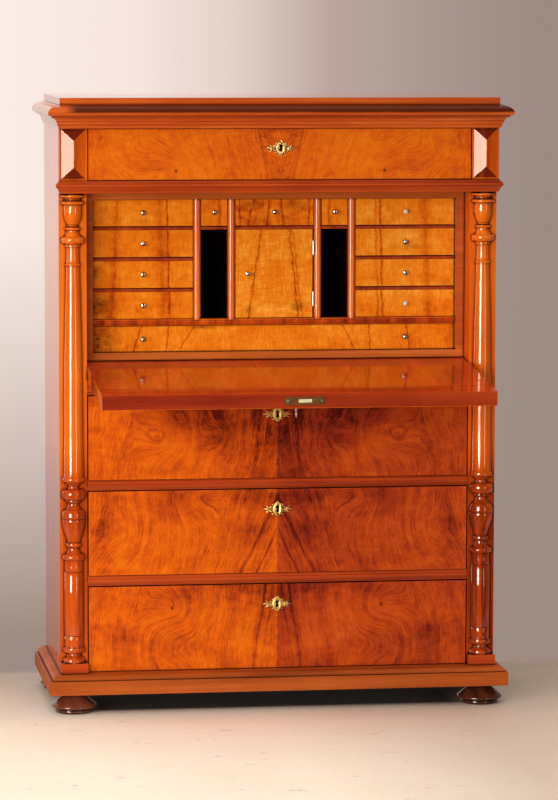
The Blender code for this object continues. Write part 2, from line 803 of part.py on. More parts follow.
def build_door(finish, white):
    """Cupboard door hung on its right edge by two butt hinges."""
    low, high = rows_level, row_levels(1)[1]
    axis_x = inner_upright - door_hinge_gap / 2
    axis_y = drawer_plane - hinge_radius
    frame = frame_at("door_axis", (axis_x, axis_y, low))
    height = high - low
    near_edge = inner_upright - door_hinge_gap - axis_x
    far_edge = -inner_upright + door_gap - axis_x
    box("cupboard_door", (far_edge, hinge_radius, door_gap),
        (near_edge, hinge_radius + door_thickness, height - door_gap), finish, frame)
    build_knob("cupboard_door_knob", frame, far_edge + door_knob_inset, height / 2, white,
               seat=hinge_radius)
    centres = (("door_hinge_lower", low + hinge_inset + hinge_length / 2),
               ("door_hinge_upper", high - hinge_inset - hinge_length / 2))
    leaf_out = inner_upright - joint_gap
    for name, centre in centres:
        barrel = rod(name, hinge_radius - hinge_clearance,
                     (axis_x, axis_y, centre - hinge_length / 2),
                     (axis_x, axis_y, centre + hinge_length / 2), "Z", white)
        leaf = box(name + "_leaf",
                   (leaf_out - hinge_leaf_thickness, axis_y, centre - hinge_length / 2),
                   (leaf_out, drawer_plane + hinge_leaf_depth, centre + hinge_length / 2),
                   cutter=True)
        join(barrel, leaf)


def build_fall(finish, iron, brass):
    """Fall board with its lock, key and pivots, built shut and turned open."""
    frame = frame_at("fall_axis", (0.0, front + pivot_depth, pivot_level), fall_angle)
    board = box("fall_board", (-fall_half, fall_outer, fall_bottom),
                (fall_half, fall_inner, fall_top), finish, frame)
    middle = (fall_outer + fall_inner) / 2

    plate_low = (lock_offset - lock_plate_width / 2, middle - lock_plate_depth / 2,
                 fall_top - lock_plate_thickness)
    plate_high = (lock_offset + lock_plate_width / 2, middle + lock_plate_depth / 2, fall_top)
    case_low = (lock_offset - lock_case_width / 2, middle - lock_case_depth / 2,
                fall_top - lock_case_height)
    case_high = (lock_offset + lock_case_width / 2, middle + lock_case_depth / 2,
                 fall_top - lock_plate_thickness / 2)
    clear = Vector((joint_gap, joint_gap, joint_gap))
    lift = Vector((joint_gap, joint_gap, cut_overrun))
    cut(board, box("fall_plate_recess", Vector(plate_low) - clear, Vector(plate_high) + lift,
                   parent=frame, cutter=True))
    cut(board, box("fall_case_mortise", Vector(case_low) - clear, Vector(case_high) + lift,
                   parent=frame, cutter=True))
    key_x = lock_offset + key_offset
    key_z = fall_top - key_drop
    cut(board, rod("fall_keyhole", keyhole_radius, (key_x, fall_outer - cut_overrun, key_z),
                   (key_x, middle, key_z), "Y", parent=frame, cutter=True))
    cut(board, box("fall_key_slot",
                   (key_x - keyhole_slot_width / 2, fall_outer - cut_overrun,
                    key_z - keyhole_slot_length),
                   (key_x + keyhole_slot_width / 2, middle, key_z), parent=frame, cutter=True))

    for name, side in (("fall_pivot_left", -1), ("fall_pivot_right", 1)):
        ends = sorted((side * (fall_half - iron_thickness), side * fall_half))
        notch = sorted((side * (fall_half - iron_thickness - joint_gap),
                        side * (fall_half + cut_overrun)))
        cut(board, box(name + "_notch",
                       (notch[0], -iron_width / 2 - joint_gap, -iron_tail - joint_gap),
                       (notch[1], iron_width / 2 + joint_gap, iron_reach + joint_gap),
                       parent=frame, cutter=True))
        plate = box(name, (ends[0], -iron_width / 2, -iron_tail),
                    (ends[1], iron_width / 2, iron_reach), iron, frame)
        pin = rod(name + "_pin", pin_radius, (side * (fall_half - iron_thickness / 2), 0.0, 0.0),
                  (side * (fall_half + pin_length), 0.0, 0.0), "X", parent=frame, cutter=True)
        join(plate, pin)

    lock = box("lock_plate", plate_low, plate_high, brass, frame)
    join(lock, box("lock_case", case_low, case_high, parent=frame, cutter=True))
    bolt_x = lock_offset + bolt_offset
    slot_half = Vector((bolt_width / 2 + bolt_clearance, bolt_depth / 2 + bolt_clearance, 0.0))
    bolt_foot = fall_top - bolt_length
    cut(lock, box("lock_bolt_slot",
                  Vector((bolt_x, middle, bolt_foot - bolt_clearance)) - slot_half,
                  Vector((bolt_x, middle, fall_top + cut_overrun)) + slot_half,
                  parent=frame, cutter=True))
    chamber_floor = case_high[1] - key_chamber_floor
    cut(lock, rod("lock_key_chamber", key_chamber_radius,
                  (key_x, case_low[1] - cut_overrun, key_z), (key_x, chamber_floor, key_z),
                  "Y", parent=frame, cutter=True, steps=turn_steps))
    box("lock_bolt", (bolt_x - bolt_width / 2, middle - bolt_depth / 2, bolt_foot),
        (bolt_x + bolt_width / 2, middle + bolt_depth / 2, fall_top), iron, frame)
    build_key(iron, frame, key_x, key_z, case_low[1], chamber_floor - joint_gap)


def build_key(finish, parent, x, z, case_face, tip):
    """Key in the lock, with its bow outside the fall's outer face."""
    axis = frame_at("key_axis", (x, 0.0, z))
    axis.parent = parent
    shoulder = fall_outer - key_shoulder
    shank = rod("key", key_shank_radius, (0.0, shoulder, 0.0), (0.0, tip, 0.0), "Y", finish,
                axis)
    bit_start = case_face + key_bit_gap
    bit = box("key_bit", (-key_bit_thickness / 2, bit_start, -key_bit_reach),
              (key_bit_thickness / 2, bit_start + key_bit_width, 0.0), parent=axis,
              cutter=True)
    bpy.ops.mesh.primitive_torus_add(major_radius=key_bow_radius, minor_radius=key_bow_wire,
                                     major_segments=turn_steps, minor_segments=8)
    bow = bpy.context.active_object
    bow.name = "key_bow"
    for owner in list(bow.users_collection):
        owner.objects.unlink(bow)
    cutters.objects.link(bow)
    bow.hide_render = True
    bow.display_type = "WIRE"
    bow.parent = axis
    bow.location = (0.0, shoulder - key_bow_radius + key_bow_wire / 2, 0.0)
    bow.rotation_euler = (0.0, math.pi / 2, 0.0)
    join(shank, bit)
    join(shank, bow)


def build():
    clear_scene()
    walnut = material("walnut", (0.42, 0.13, 0.035), 0.22)
    dark_walnut = material("dark_walnut", (0.12, 0.035, 0.014), 0.35)
    figured = material("figured_walnut", (0.55, 0.21, 0.05), 0.22)
    carcass = material("carcass_wood", (0.50, 0.30, 0.14), 0.55)
    golden = material("golden_veneer", (0.66, 0.30, 0.07), 0.25)
    silver = material("white_metal", (0.75, 0.75, 0.72), 0.3, 1.0)
    ivory = material("ivory", (0.86, 0.78, 0.62), 0.4)
    iron = material("iron", (0.45, 0.44, 0.42), 0.4, 1.0)
    brass = material("brass", (0.78, 0.57, 0.24), 0.3, 1.0)

    build_feet(dark_walnut)
    build_plinth(walnut)
    build_base(walnut)
    build_sides(walnut)
    build_back(carcass)
    build_top(walnut)
    build_cornice(walnut)
    build_frieze_rail(walnut)
    build_corner_blocks(walnut)
    build_columns(walnut)
    build_drawer_rails(walnut)
    build_fall_rail(walnut)
    build_nest(walnut, walnut)
    build_large_drawers(figured)
    build_small_drawers(golden, silver, ivory)
    build_door(golden, silver)
    build_fall(figured, iron, brass)


build()
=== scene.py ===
# Fall front secretaire: looks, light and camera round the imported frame.
# Sizes are in metres. X runs to the right, the front faces -Y and Z is up.

import json
import math

import bmesh
import bpy
from mathutils import Matrix, Vector


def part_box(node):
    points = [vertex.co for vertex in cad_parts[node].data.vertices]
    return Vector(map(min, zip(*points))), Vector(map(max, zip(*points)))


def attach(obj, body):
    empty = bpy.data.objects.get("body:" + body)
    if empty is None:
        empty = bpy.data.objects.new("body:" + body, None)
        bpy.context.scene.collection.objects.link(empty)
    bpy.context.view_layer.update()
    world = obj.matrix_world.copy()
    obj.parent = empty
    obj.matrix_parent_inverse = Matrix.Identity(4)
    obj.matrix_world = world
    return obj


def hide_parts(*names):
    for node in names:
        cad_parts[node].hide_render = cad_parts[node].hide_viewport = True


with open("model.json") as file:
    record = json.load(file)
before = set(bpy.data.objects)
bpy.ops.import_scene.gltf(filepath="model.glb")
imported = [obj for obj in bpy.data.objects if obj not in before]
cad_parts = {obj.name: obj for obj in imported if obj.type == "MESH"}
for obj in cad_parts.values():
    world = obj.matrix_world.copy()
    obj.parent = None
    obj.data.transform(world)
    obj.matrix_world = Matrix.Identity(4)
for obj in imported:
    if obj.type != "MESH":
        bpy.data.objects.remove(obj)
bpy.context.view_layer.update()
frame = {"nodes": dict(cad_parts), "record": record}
nodes = frame["nodes"]

# Camera, found from the photograph's edges
camera_place = (-1.3452, -9.3021, 1.7115)
camera_yaw = math.radians(8.249)
camera_pitch = math.radians(5.789)
camera_roll = math.radians(0.1156)
focal_pixels = 3849.4
photo_height = 800
sensor_height = 24.0

# Places of the pieces, taken from the frame
side_low, side_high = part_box("side_left")
base_low, base_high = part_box("base_board")
cornice_low, cornice_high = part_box("cornice")
frieze_rail_low, frieze_rail_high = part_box("frieze_rail")
divider_low, divider_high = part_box("nest_dividers")
door_low, door_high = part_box("cupboard_door")
fall_joint = next(joint for joint in frame["record"]["behaviour"]["joints"]
                  if joint["name"] == "fall_hinge")
fall_pivot = Vector(fall_joint["pos_m"])
fall_tilt = math.radians(95.6)
front = side_low.y
back = side_high.y
case_half = -side_low.x


def feed(tree, slots, items):
    """Link or set inputs of a node."""
    for slot, item in zip(slots, items):
        if isinstance(item, Value):
            item = item.socket
        if isinstance(item, bpy.types.NodeSocket):
            tree.links.new(item, slot)
        else:
            slot.default_value = item


# Materials are written as plain sums over these values.
class Value:
    """A number in a node tree."""

    def __init__(self, tree, socket):
        self.tree = tree
        self.socket = socket

    def run(self, kind, *others):
        node = self.tree.nodes.new("ShaderNodeMath")
        node.operation = kind
        feed(self.tree, node.inputs, (self, *others))
        return Value(self.tree, node.outputs[0])

    def __add__(self, other):
        return self.run("ADD", other)

    def __sub__(self, other):
        return self.run("SUBTRACT", other)

    def __mul__(self, other):
        return self.run("MULTIPLY", other)

    def __truediv__(self, other):
        return self.run("DIVIDE", other)

    def __neg__(self):
        return self * -1.0

    def size(self):
        return self.run("ABSOLUTE")

    def clamp(self):
        result = self * 1.0
        result.socket.node.use_clamp = True
        return result

    def bell(self):
        """One at zero, and near nothing beyond one."""
        return (self * self * -3.0).run("EXPONENT")

    def above(self, edge, soft):
        """Rises from zero to one over a soft width round the edge."""
        return ((self - edge) / soft + 0.5).clamp()


def away(across, high):
    """Square of the distance from zero."""
    return across.run("POWER", 2.0) + high.run("POWER", 2.0)


def blob(across, high):
    """One at zero, and fading all round it."""
    return (-away(across, high)).run("EXPONENT")


def window(value, middle, half, soft):
    """One within half of the middle, and zero beyond."""
    return (-(value - middle).size()).above(-half, soft)


def strongest(marks):
    """The highest of several values, or None where there are none."""
    result = None
    for mark in marks:
        result = mark if result is None else result.run("MAXIMUM", mark)
    return result


class Nodes:
    """A node tree being filled."""

    def __init__(self, tree):
        self.tree = tree

    def node(self, kind, *first, **named):
        """New node with its first inputs and its named ones fed."""
        node = self.tree.nodes.new("ShaderNode" + kind)
        feed(self.tree, node.inputs, first)
        feed(self.tree, [node.inputs[name.replace("_", " ")] for name in named], named.values())
        return node

    def parts(self, kind):
        """X, Y and Z of a kind of texture coordinates."""
        split = self.node("SeparateXYZ", self.node("TexCoord").outputs[kind])
        return [Value(self.tree, socket) for socket in split.outputs]

    def ray(self, kind):
        """One for rays of a kind: camera, glossy or transmission."""
        return Value(self.tree, self.node("LightPath").outputs["Is %s Ray" % kind])

    def noise(self, x, y, z=0.0, detail=2.0, rough=0.5):
        place = self.node("CombineXYZ", x, y, z).outputs[0]
        node = self.node("TexNoise", Vector=place, Scale=1.0, Detail=detail, Roughness=rough)
        return Value(self.tree, node.outputs["Fac"])

    def ramp(self, value, stops):
        node = self.node("ValToRGB", value)
        marks = node.color_ramp.elements
        while len(marks) < len(stops):
            marks.new(0.5)
        for mark, (place, colour) in zip(marks, stops):
            mark.position = place
            mark.color = colour
        return node.outputs[0]

    def mix(self, amount, first, second):
        node = self.node("Mix")
        node.data_type = "RGBA"
        feed(self.tree, (node.inputs[0], *node.inputs[6:8]), (amount, first, second))
        return node.outputs[2]


class Stuff(Nodes):
    """A material being made, with the object's own coordinates as values."""

    def __init__(self, name, turned=False):
        self.material = bpy.data.materials.new(name)
        self.material.use_nodes = True
        super().__init__(self.material.node_tree)
        self.shader = self.tree.nodes["Principled BSDF"]
        self.x, self.y, self.z = self.parts("Object")
        if turned:
            self.shut()

    def shut(self):
        """Turns the open fall's points back to the shut board, measured from its pivot."""
        deep = self.y - fall_pivot.y
        high = self.z - fall_pivot.z
        cosine = math.cos(fall_tilt)
        sine = math.sin(fall_tilt)
        self.y = deep * cosine + high * sine
        self.z = high * cosine - deep * sine

    def painted_crease_shade(self, reach):
        """Painted shade, high in corners and joints, where less light reaches."""
        node = self.node("AmbientOcclusion", Distance=reach)
        node.samples = 6
        return (Value(self.tree, node.outputs["AO"]) * -2.2 + 2.1).clamp()

    def steepness(self):
        """How far the surface leans up or down, from 0 to 1."""
        return self.parts("Normal")[2].size()

    def bump(self, value, depth):
        result = self.node("Bump", Strength=1.0, Distance=depth, Height=value).outputs[0]
        self.set(Normal=result)
        return result

    def polish(self, tint, relief, depth, rough, weight, gloss):
        """French polish that follows the relief of the wood under it."""
        self.set(Coat_Normal=self.bump(relief, depth), Coat_Weight=weight, Coat_Roughness=gloss,
                 Coat_IOR=1.5, Base_Color=tint, Roughness=rough, Specular_IOR_Level=0.0)
        return self.material

    def set(self, **named):
        """Link or set inputs of the shader."""
        inputs = self.shader.inputs
        feed(self.tree, [inputs[name.replace("_", " ")] for name in named], named.values())


def ink(red, green, blue):
    """A colour from its screen values, as the shader's plain light."""
    shades = []
    for shade in (red, green, blue):
        shade = shade / 255
        shades.append(shade / 12.92 if shade < 0.04045 else ((shade + 0.055) / 1.055) ** 2.4)
    return (*shades, 1.0)


def spread(*colours):
    """Colour stops at even steps from 0 to 1."""
    last = len(colours) - 1
    return [(index / last, ink(*colour)) for index, colour in enumerate(colours)]


# Shapes
def smooth_line(points, steps):
    """Points along a soft curve through the given ones."""
    result = []
    last = len(points) - 1
    for index in range(last):
        before = Vector(points[max(index - 1, 0)])
        start = Vector(points[index])
        end = Vector(points[index + 1])
        after = Vector(points[min(index + 2, last)])
        reach = (end - start).length
        lead = (end - before).normalized() * reach
        tail = (after - start).normalized() * reach
        for step in range(steps):
            t = step / steps
            result.append(start * (2 * t ** 3 - 3 * t ** 2 + 1) + lead * (t ** 3 - 2 * t ** 2 + t)
                          + end * (3 * t ** 2 - 2 * t ** 3) + tail * (t ** 3 - t ** 2))
    result.append(Vector(points[last]))
    return result


def make_object(name, shape, material, sharp=0.6):
    """Object of a finished shape, smooth but for its sharp edges."""
    bmesh.ops.recalc_face_normals(shape, faces=shape.faces)
    for edge in shape.edges:
        if len(edge.link_faces) == 2 and edge.calc_face_angle() > sharp:
            edge.smooth = False
    for face in shape.faces:
        face.smooth = True
    mesh = bpy.data.meshes.new(name)
    shape.to_mesh(mesh)
    shape.free()
    piece = bpy.data.objects.new(name, mesh)
    bpy.context.scene.collection.objects.link(piece)
    mesh.materials.append(material)
    return piece


def add_mesh(name, shape, body, material, sharp=0.6):
    """Make a piece of the secretaire."""
    piece = make_object(name, shape, material, sharp)
    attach(piece, body)
    return piece


def bridge(shape, rings, closed=True, caps=False):
    """Join each ring of points to the next, and close the ends with caps."""
    for low, high in zip(rings, rings[1:]):
        for index in range(len(low) if closed else len(low) - 1):
            after = (index + 1) % len(low)
            shape.faces.new((low[index], low[after], high[after], high[index]))
    if caps:
        shape.faces.new(rings[0])
        shape.faces.new(rings[-1])


def turned(outline, centre, axis="Z", steps=64, half=False):
    """Solid of revolution from (radius, height) pairs, about Z or toward -Y.

    A half one is flat behind, and its radii are all above zero."""
    shape = bmesh.new()
    rings = []
    turn = math.pi if half else 2 * math.pi
    for radius, height in outline:
        ring = []
        for step in range(steps + 1 if half else steps):
            angle = math.pi + turn * step / steps
            across = radius * math.cos(angle)
            deep = radius * math.sin(angle)
            shift = (across, deep, height) if axis == "Z" else (across, -height, deep)
            ring.append(shape.verts.new([a + b for a, b in zip(centre, shift)]))
        rings.append(ring)
    bridge(shape, rings, closed=not half)
    for ring, (radius, height) in zip((rings[0], rings[-1]), (outline[0], outline[-1])):
        if radius > 0.0:
            shape.faces.new(ring)
    if half:
        shape.faces.new([ring[0] for ring in rings] + [ring[-1] for ring in reversed(rings)])
    bmesh.ops.remove_doubles(shape, verts=shape.verts, dist=0.000001)
    return shape


def raised(plan, profile):
    """Plan outline raised step by step, with its free edges shifted outward."""
    shape = bmesh.new()
    rings = [[shape.verts.new((x + out_x * shift, y + out_y * shift, height))
              for x, y, out_x, out_y in plan] for height, shift in profile]
    bridge(shape, rings, caps=True)
    return shape


def both_sides(points):
    return list(points) + [(-x, y, -out_x, out_y) for x, y, out_x, out_y in reversed(points)]


def block(shape, low, high):
    """Add a box to a shape."""
    corners = bmesh.ops.create_cube(shape, size=1.0)["verts"]
    bmesh.ops.scale(shape, vec=Vector(high) - Vector(low), verts=corners)
    bmesh.ops.translate(shape, vec=(Vector(high) + Vector(low)) / 2, verts=corners)


def along(outline, start, end, axis):
    """Outline of (a, b) pairs run from start to end along X or Z.

    Along X the pairs are (y, z), and along Z they are (x, y)."""
    shape = bmesh.new()
    rings = [[shape.verts.new((place, a, b) if axis == "X" else (a, b, place))
              for a, b in outline] for place in (start, end)]
    bridge(shape, rings, caps=True)
    return shape


def turn_shape(shape, matrix):
    bmesh.ops.rotate(shape, cent=(0.0, 0.0, 0.0), matrix=matrix, verts=shape.verts)


def shift_shape(shape, shift):
    bmesh.ops.translate(shape, vec=shift, verts=shape.verts)


def bevelled(piece, width):
    change = piece.modifiers.new("Bevel", "BEVEL")
    change.width = width
    change.segments = 2
    change.limit_method = "ANGLE"
    change.angle_limit = math.radians(40)
    change.harden_normals = True


# Wood colours from the grain up, as screen values
bright_stops = spread((96, 28, 14), (180, 68, 20), (220, 97, 17), (235, 121, 20), (246, 152, 44))
# The deep stops colour the large drawers' right leaves: partly their own tone, partly painted shade
# where the light falls off to the right.
deep_tone_and_shade_stops = spread((72, 20, 14), (138, 42, 23), (180, 65, 25), (204, 86, 28), (228, 116, 40))
rail_stops = spread((78, 22, 12), (138, 44, 20), (178, 66, 25), (198, 82, 30), (226, 110, 44))
brown_stops = spread((74, 30, 14), (128, 56, 22), (168, 78, 28), (190, 94, 38), (214, 120, 56))
post_stops = spread((112, 34, 12), (186, 70, 16), (224, 98, 18), (238, 118, 26), (250, 150, 48))
dark_stops = spread((34, 12, 8), (62, 26, 16), (92, 44, 26), (118, 60, 36), (150, 82, 50))
gold_stops = spread((128, 40, 10), (196, 78, 14), (228, 112, 17), (240, 136, 26), (252, 168, 60))
board_stops = spread((88, 20, 12), (174, 53, 19), (214, 90, 32))
bare_stops = spread((120, 78, 44), (178, 128, 80), (212, 166, 112))
box_stops = spread((120, 74, 40), (176, 124, 76), (214, 166, 112))


def straight_grain(stuff, direction):
    """Figure of plain boards whose grain runs along X, Y or Z, from 0 to 1."""
    x, y, z = stuff.x, stuff.y, stuff.z
    run, across, deep = {"X": (x, z, y), "Y": (y, x, z), "Z": (z, x, y)}[direction]
    drift = (stuff.noise(run * 2.5, across * 9.0, deep * 9.0) - 0.5) * 0.024
    line = across + drift
    bands = stuff.noise(line * 55.0, run * 1.4, deep * 40.0, 3.0, 0.55)
    fine = stuff.noise(line * 620.0, run * 14.0, deep * 500.0, 2.0, 0.6)
    cloud = stuff.noise(run * 3.0, across * 8.0, deep * 8.0)
    pores = stuff.noise(line * 1500.0, run * 70.0, deep * 1500.0, 1.0).above(0.7, 0.1)
    return (bands * 0.75 + fine * 0.32 + cloud * 0.45 - 0.27 - pores * 0.14).clamp()


def board_wood(name, direction, stops, dim, gloss=0.05, coat=1.0, right_shade=0.0, low_shade=0.0,
               shade_behind=None, shade_above=None, shade_lines=(), steep_shade=False):
    """French polish over straight grained wood along X or Z.

    It can have painted shade on the right or lower down, black painted shade behind a depth, dark
    painted shade above a height, a line of painted shade along each of its creases (height, half
    width, depth) and painted shade on faces that lean up or down."""
    stuff = Stuff(name)
    x, y, z = stuff.x, stuff.y, stuff.z
    value = straight_grain(stuff, direction) - dim
    # Painted shade: darker towards the right, where the light falls off.
    if right_shade:
        value = value - x.above(0.0, 0.1) * right_shade
    # Painted shade: darker lower down, where less light reaches.
    if low_shade:
        value = value - (-z).above(-0.6, 0.12) * low_shade
    # A line of painted shade along each of the creases and gaps.
    for height, wide, depth in shade_lines:
        value = value - ((z - height) / wide).bell() * depth
    # Painted shade on the faces that lean up or down.
    if steep_shade:
        value = value - stuff.steepness().above(0.15, 0.1) * 0.42
    tint = stuff.ramp(value, stops)
    # Black painted shade in the recesses behind a depth.
    if shade_behind is not None:
        tint = stuff.mix((y - shade_behind).above(0.0, 0.02), tint, ink(34, 8, 6))
    # Painted shade and painted dark reflection on the cornice's upturned ovolo above a height, left
    # out at the left end.
    if shade_above is not None:
        ragged = stuff.noise(x * 9.0, z * 30.0, 3.0) * 0.004
        dark = (z + ragged - shade_above).above(0.0, 0.004) * (x + 0.515).above(0.0, 0.03) * 0.86
        tint = stuff.mix(dark, tint, ink(34, 8, 6))
    # Painted shade in corners and creases.
    tint = stuff.mix(stuff.painted_crease_shade(0.007), tint, ink(42, 14, 8))
    relief = stuff.noise(x * 7.0, y * 7.0, z * 7.0) + value * 0.05
    return stuff.polish(tint, relief, 0.00072, value * -0.12 + 0.55, coat, gloss)


def bare_wood(name, shade_before):
    """Unpolished wood of the back, grained along Z, with near black painted shade before a depth.
    """
    stuff = Stuff(name)
    value = straight_grain(stuff, "Z")
    # Painted shade on the back's inner face, seen deep in the nest.
    inner = (-stuff.y + shade_before).above(0.0, 0.0004)
    stuff.bump(value, 0.0004)
    stuff.set(Base_Color=stuff.mix(inner, stuff.ramp(value, bare_stops), ink(22, 14, 9)),
              Roughness=0.62, Specular_IOR_Level=0.3)
    return stuff.material


# What a figure has where its table says nothing
plain_figure = {
    "lean": 0.0, "sway": 0.05, "mottle": 0.4, "smoke": 0.1, "curl": 0.12, "leaf_tone_and_shade": 0.0,
    "deep_leaf_tone_and_shade": 0.0, "hole": None, "ripples": None, "knots": (), "clouds_and_shadows": (), "vees": (),
    "streaks": (), "pairs": (), "eyes": (), "burns": ()}


def veneer(name, face, figure, stops):
    """Figured veneer on a front, with the plain box behind it.

    The face is (front y, thickness) or None, and the figure is a table of its main features.
    Knots, clouds and burns are (across, height, wide, tall, strength), vees (apex height, slope,
    wide, depth), streaks and pairs (place at the top, at the foot, wide, depth, wobble), eyes
    (across, height) and ripples (half width at the top, at the foot, depth)."""
    figure = dict(plain_figure, **figure)
    stuff = Stuff(name)
    x, y, z = stuff.x, stuff.y, stuff.z
    seed = figure["seed"]
    side = x - figure["centre"]
    fold = side.size()
    low = z - figure["level"]

    # Lines of the grain, bent round the knots
    flow = fold + low * figure["lean"]
    for across, height, wide, tall, lift in figure["knots"]:
        flow = flow + blob((fold - across) / wide, (z - height) / tall) * lift
    sway = stuff.noise(fold * 7.0, z * 7.0, seed) - 0.5
    tremble = stuff.noise(fold * 48.0, z * 36.0, seed + 1.0) - 0.5
    flow = flow + sway * figure["sway"] + tremble * 0.006
    bands = stuff.noise(flow * figure["bands"], z * 3.0, seed + 3.0, 3.0, 0.6)
    feather = stuff.noise(flow * 300.0, z * 24.0, seed + 5.0, 4.0, 0.7)
    grain = stuff.noise(flow * 900.0, z * 60.0, seed + 7.0)
    cloud = stuff.noise(fold * 6.0, z * 8.0, seed + 9.0, 3.0, 0.55)
    mottle = stuff.noise(x * 45.0, z * 60.0, seed + 10.0, 4.0, 0.65)
    patch = stuff.noise(x * 3.0, z * 5.0, seed + 11.0, 1.0)
    curl = stuff.noise(x * 26.0, z * 300.0, seed + 13.0) - 0.5
    pores = stuff.noise(flow * 1300.0, z * 90.0, seed + 15.0, 1.0).above(0.66, 0.12)
    smoke = stuff.noise(fold * 11.0, z * 15.0, seed + 12.0, 5.0, 0.6).above(0.5, 0.3)

    # Light and dark of the figure, with painted shade on the right leaf and the open fall's painted
    # shadow on the top drawer
    value = (bands - 0.5) * figure["contrast"] + (feather - 0.5) * 0.85
    value = value + (grain - 0.5) * 0.34 + (cloud - 0.5) * 0.6 + (patch - 0.5) * 0.3
    value = value + (mottle - 0.5) * figure["mottle"] - pores * 0.1
    value = value - smoke * figure["smoke"]
    # Right leaf darker: partly its own tone, partly painted shade.
    value = value - side.above(0.0, 0.0008) * figure["leaf_tone_and_shade"]
    value = value + curl * figure["curl"] + figure["tone"]
    # Each dark patch of the figure; on the top drawer they also paint the open fall's shadow.
    for across, height, wide, tall, depth in figure["clouds_and_shadows"]:
        value = value - blob((fold - across) / wide, (z - height) / tall) * depth
    for apex, slope, wide, depth in figure["vees"]:
        leg = (fold - (-z + apex) * slope + sway * 0.02) / wide
        value = value - leg.bell() * (-z + apex + 0.01).above(0.0, 0.02) * depth
    if figure["ripples"]:
        top_half, low_half, depth = figure["ripples"]
        edge = low * ((top_half - low_half) / figure["span"]) + (top_half + low_half) / 2
        inside = ((edge - fold) / 0.004).clamp()
        wave = stuff.noise(fold * 9.0, (z - fold * 0.35) * 130.0, seed + 17.0) - 0.5
        value = value + inside * (wave * 0.5 - depth)
        value = value - ((fold - edge) / 0.0035).bell() * 0.26

    # Dark streaks, the keyhole's painted shade, eyes and burns
    dark_marks = []
    rows = [(side, row) for row in figure["streaks"]] + [(fold, row) for row in figure["pairs"]]
    for place, (start, end, wide, depth, wobble) in rows:
        line = low * ((start - end) / figure["span"]) + (start + end) / 2
        bend = (stuff.noise(z * 42.0, start * 90.0, seed + 19.0, 3.0, 0.6) - 0.5) * wobble
        breaks = stuff.noise(z * 60.0, start * 50.0 + 4.0, seed + 23.0, 3.0).above(0.46, 0.3)
        girth = stuff.noise(z * 110.0, start * 70.0, seed + 27.0, 3.0) * (wide * 2.4) + wide * 0.1
        spot = (place - line - bend) / girth
        dark_marks.append(spot.bell() * breaks * depth)
        value = value - (spot * 0.3).bell() * 0.22
    # Painted shade: the keyhole's opening painted near black on the wood behind the plate.
    if figure["hole"]:
        hole = away(side / 0.0052, (z - figure["hole"]) / 0.01)
        dark_marks.append((-hole + 1.6).clamp())
    for across, height in figure["eyes"]:
        dark_marks.append(blob((fold - across) / 0.0032, (z - height) / 0.004) * 0.9)
    burn_marks = []
    for across, height, wide, tall, depth in figure["burns"]:
        ragged = stuff.noise(x * 60.0, z * 95.0, seed + 31.0, 5.0, 0.6).above(0.42, 0.45)
        burn = blob((side - across) / wide, (z - height) / tall)
        burn_marks.append(burn * ragged * depth)

    value = value.clamp()
    tint = stuff.ramp(value, stops)
    if burn_marks:
        tint = stuff.mix(strongest(burn_marks), tint, ink(78, 24, 10))
    # Right leaf in deeper colours: partly its own tone, partly painted shade.
    if figure["deep_leaf_tone_and_shade"]:
        leaf = side.above(0.0, 0.0008) * figure["deep_leaf_tone_and_shade"]
        tint = stuff.mix(leaf, tint, stuff.ramp(value, deep_tone_and_shade_stops))
    if dark_marks:
        tint = stuff.mix(strongest(dark_marks).clamp(), tint, ink(36, 10, 8))
    # Painted shade in corners and creases.
    tint = stuff.mix(stuff.painted_crease_shade(0.005), tint, ink(48, 16, 8))
    coat = 1.0
    if face is not None:
        shown = (y - (face[0] + face[1] - 0.0004)).above(0.0, 0.0002)
        tint = stuff.mix(shown, tint, stuff.ramp(straight_grain(stuff, "Y"), box_stops))
        coat = -shown + 1.0
    relief = stuff.noise(x * 6.0, y * 6.0, z * 6.0) + value * 0.04
    return stuff.polish(tint, relief, 0.0007, value * -0.1 + 0.55, coat, 0.05)


def metal(name, colour, rough, wear, tarnish, amount, scale=220.0):
    """Metal with tarnished spots."""
    stuff = Stuff(name)
    spots = stuff.noise(stuff.x * scale, stuff.y * scale, stuff.z * scale, 3.0, 0.6)
    dark = spots.above(0.6, 0.3) * amount
    stuff.bump(spots, 0.00012)
    stuff.set(Base_Color=stuff.mix(dark, ink(*colour), ink(*tarnish)),
              Roughness=spots * wear + rough, Metallic=1.0)
    return stuff.material


# Sizes that the dressed pieces share
joint_gap = 0.0003
drawer_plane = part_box("centre_drawer")[0].y
rows_level = divider_low.z + 0.017
inner_upright = 0.107
outer_upright = 0.192
hinge_gap = 0.0028
keyhole_drop = 0.046
keyhole_middle = 0.0032
fall_top = 0.4222
fall_inner = 0.008
fall_outer = -0.027
fall_middle = (fall_inner + fall_outer) / 2
lock_middle = 0.0085
lock_plate_width = 0.097
lock_plate_depth = 0.0194
lock_plate_thickness = 0.0025
lock_corner = 0.0075
lock_recess = 0.0026
lock_case_half = 0.039
lock_case_deep = 0.006
lock_case_drop = 0.056
key_drop = 0.0385
key_middle = lock_middle - 0.0145
key_shoulder = 0.0145
key_tip = fall_middle + 0.0027
post_width = 0.0675
post_depth = 0.08
opening_half = case_half - post_width
post_centre = case_half - post_width / 2

